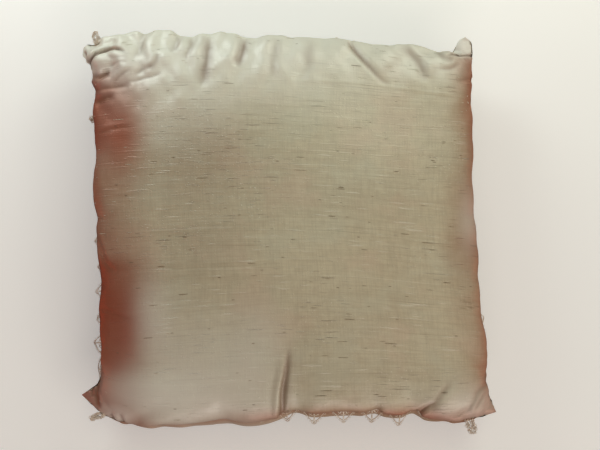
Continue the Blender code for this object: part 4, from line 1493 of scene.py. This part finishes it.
def make_ribbon(side, turn, front, satin, thread):
    """One ribbon laid out on the front, bowed outwards, gathered under its tack, frayed at its cuts."""
    share = np.linspace(-1, 1, RIBBON_ROWS)[:, None]
    across = np.linspace(-1, 1, RIBBON_COLUMNS)[None, :]
    y = RIBBON_HALF_LENGTH * share
    pinch = np.exp(-((y / PINCH_LENGTH) ** 2))
    half_width = RIBBON_WIDTH / 2 * (1 - (1 - PINCHED_SHARE) * pinch) + RIBBON_SWAY * np.sin(y * 0.9)
    x = (RIBBON_OFFSET + RIBBON_BOW * share**2) + across * half_width
    y = y + across * RIBBON_SLANT / 2 * share
    x, y = turn * x, turn * y
    over = front_height(front, x.ravel(), y.ravel()).reshape(x.shape)
    over = np.minimum(over, BELLY_Z + FOLLOWS_FRONT * (over - BELLY_Z))
    pleats = PLEAT_HEIGHT * pinch * (0.5 + 0.5 * np.cos(across * PLEAT_TURNS))
    top = over - RIBBON_CLEARANCE - pleats
    selvedge = 1 + SELVEDGE_EXTRA * (np.abs(across) > SELVEDGE_FROM)
    under = np.maximum(top - RIBBON_THICKNESS * selvedge, 0.0)
    upper = np.stack([x, y, np.maximum(top, under + LEAST_THICKNESS)], axis=-1)
    lower = np.stack([x, y, under], axis=-1)
    points = np.concatenate([upper.reshape(-1, 3), lower.reshape(-1, 3)])
    index = point_numbers(RIBBON_ROWS, RIBBON_COLUMNS)
    below = index + index.size
    quads = [grid_quads(index, False), grid_quads(below, True)]
    for edge, turned in ((np.s_[:, 0], False), (np.s_[:, -1], True), (np.s_[0], True), (np.s_[-1], False)):
        quads.append(grid_quads(np.stack([index[edge], below[edge]]), turned))
    ribbon = mesh_object("satin_ribbon_" + side, points, np.concatenate(quads), satin)
    length = (share + 1) / 2 * RIBBON_LENGTH * MM + 0 * across
    width = across * RIBBON_WIDTH / 2 * MM + 0 * share
    write_uv(ribbon.data, "cloth", np.tile(np.stack([length, width], axis=-1).reshape(-1, 2), (2, 1)))
    fray = frayed_ends(upper, lower, "frayed_ends_" + side, thread)
    tack = sewn_tack(upper, lower, "thread_tack_" + side, thread)
    keep(ribbon, "ring_ribbon_" + side)
    keep(fray)
    keep(tack, "ribbon_tack_" + side)


def frayed_ends(upper, lower, name, material):
    """A few warp threads that have come loose at the ribbon's cuts."""
    draw = np.random.default_rng(51)
    work = ThreadWork()
    for end, before in ((0, 1), (-1, -2)):
        for column in range(RIBBON_COLUMNS):
            foot = (upper[end, column] + lower[end, column]) / 2
            step = unit((upper[end, column] - upper[before, column]) * (1, 1, 0))
            reach = draw.uniform(0.5, 2.2)
            sway = np.array([-step[1], step[0], 0]) * draw.normal(0, 0.35)
            floor = np.array([0, 0, max(-foot[2] + 0.1, -0.3) * draw.random()])
            path = [foot - step * 0.3, foot + step * reach / 2 + sway / 3, foot + step * reach + sway + floor]
            work.tube(smooth_path(path, 0.4), 0.06, 4)
    return work.mesh(name, material)


def sewn_tack(upper, lower, name, material):
    """Three strands across the gathered ribbon, bound together in the middle."""
    middle = RIBBON_ROWS // 2
    work = ThreadWork()
    for row in (middle - 1, middle, middle + 1):
        low = lower[row].copy()
        low[:, 2] = np.maximum(low[:, 2] - TACK_RADIUS * 0.6, TACK_RADIUS)
        outward = unit(low[-1] - low[0]) * TACK_OVERLAP
        start, end = low[0] - outward, low[-1] + outward
        start[2] = upper[row, 0, 2] + TACK_RADIUS
        end[2] = upper[row, -1, 2] + TACK_RADIUS
        work.tube(smooth_path([start, *low[::3], low[-1], end], 0.4), TACK_RADIUS, 6, (0, 1, 0))
    centre = lower[middle, RIBBON_COLUMNS // 2]
    turn = np.linspace(0, 2 * np.pi, 13)
    for wrap in range(5):
        along = np.full(len(turn), (wrap - 2) * WRAP_PITCH)
        ring = centre + np.stack([along, 1.3 * np.sin(turn), 0.15 + 0.45 * np.cos(turn)], axis=-1)
        ring[:, 2] = np.maximum(ring[:, 2], 0.15)
        work.tube(ring, WRAP_RADIUS, 5, (1, 0, 0))
    return work.mesh(name, material)


def make_ribbons(front):
    """Both ring ribbons with their tacks."""
    satin = satin_material()
    thread = cotton_thread_material("ribbon_thread", (0.80, 0.74, 0.62), (0.68, 0.60, 0.47), 3000.0, 0.00004)
    make_ribbon("right", 1, front, satin, thread)
    make_ribbon("left", -1, front, satin, thread)


make_camera()
make_floor()
make_lights()
back_grid, front_grid, painted_light_and_shade_marks = shape_cover()
make_cover(back_grid, front_grid, painted_light_and_shade_marks)
make_inner_pad(back_grid, front_grid)
make_lace(back_grid)
make_stitches(back_grid)
make_slubs(back_grid)
make_ribbons(front_grid)
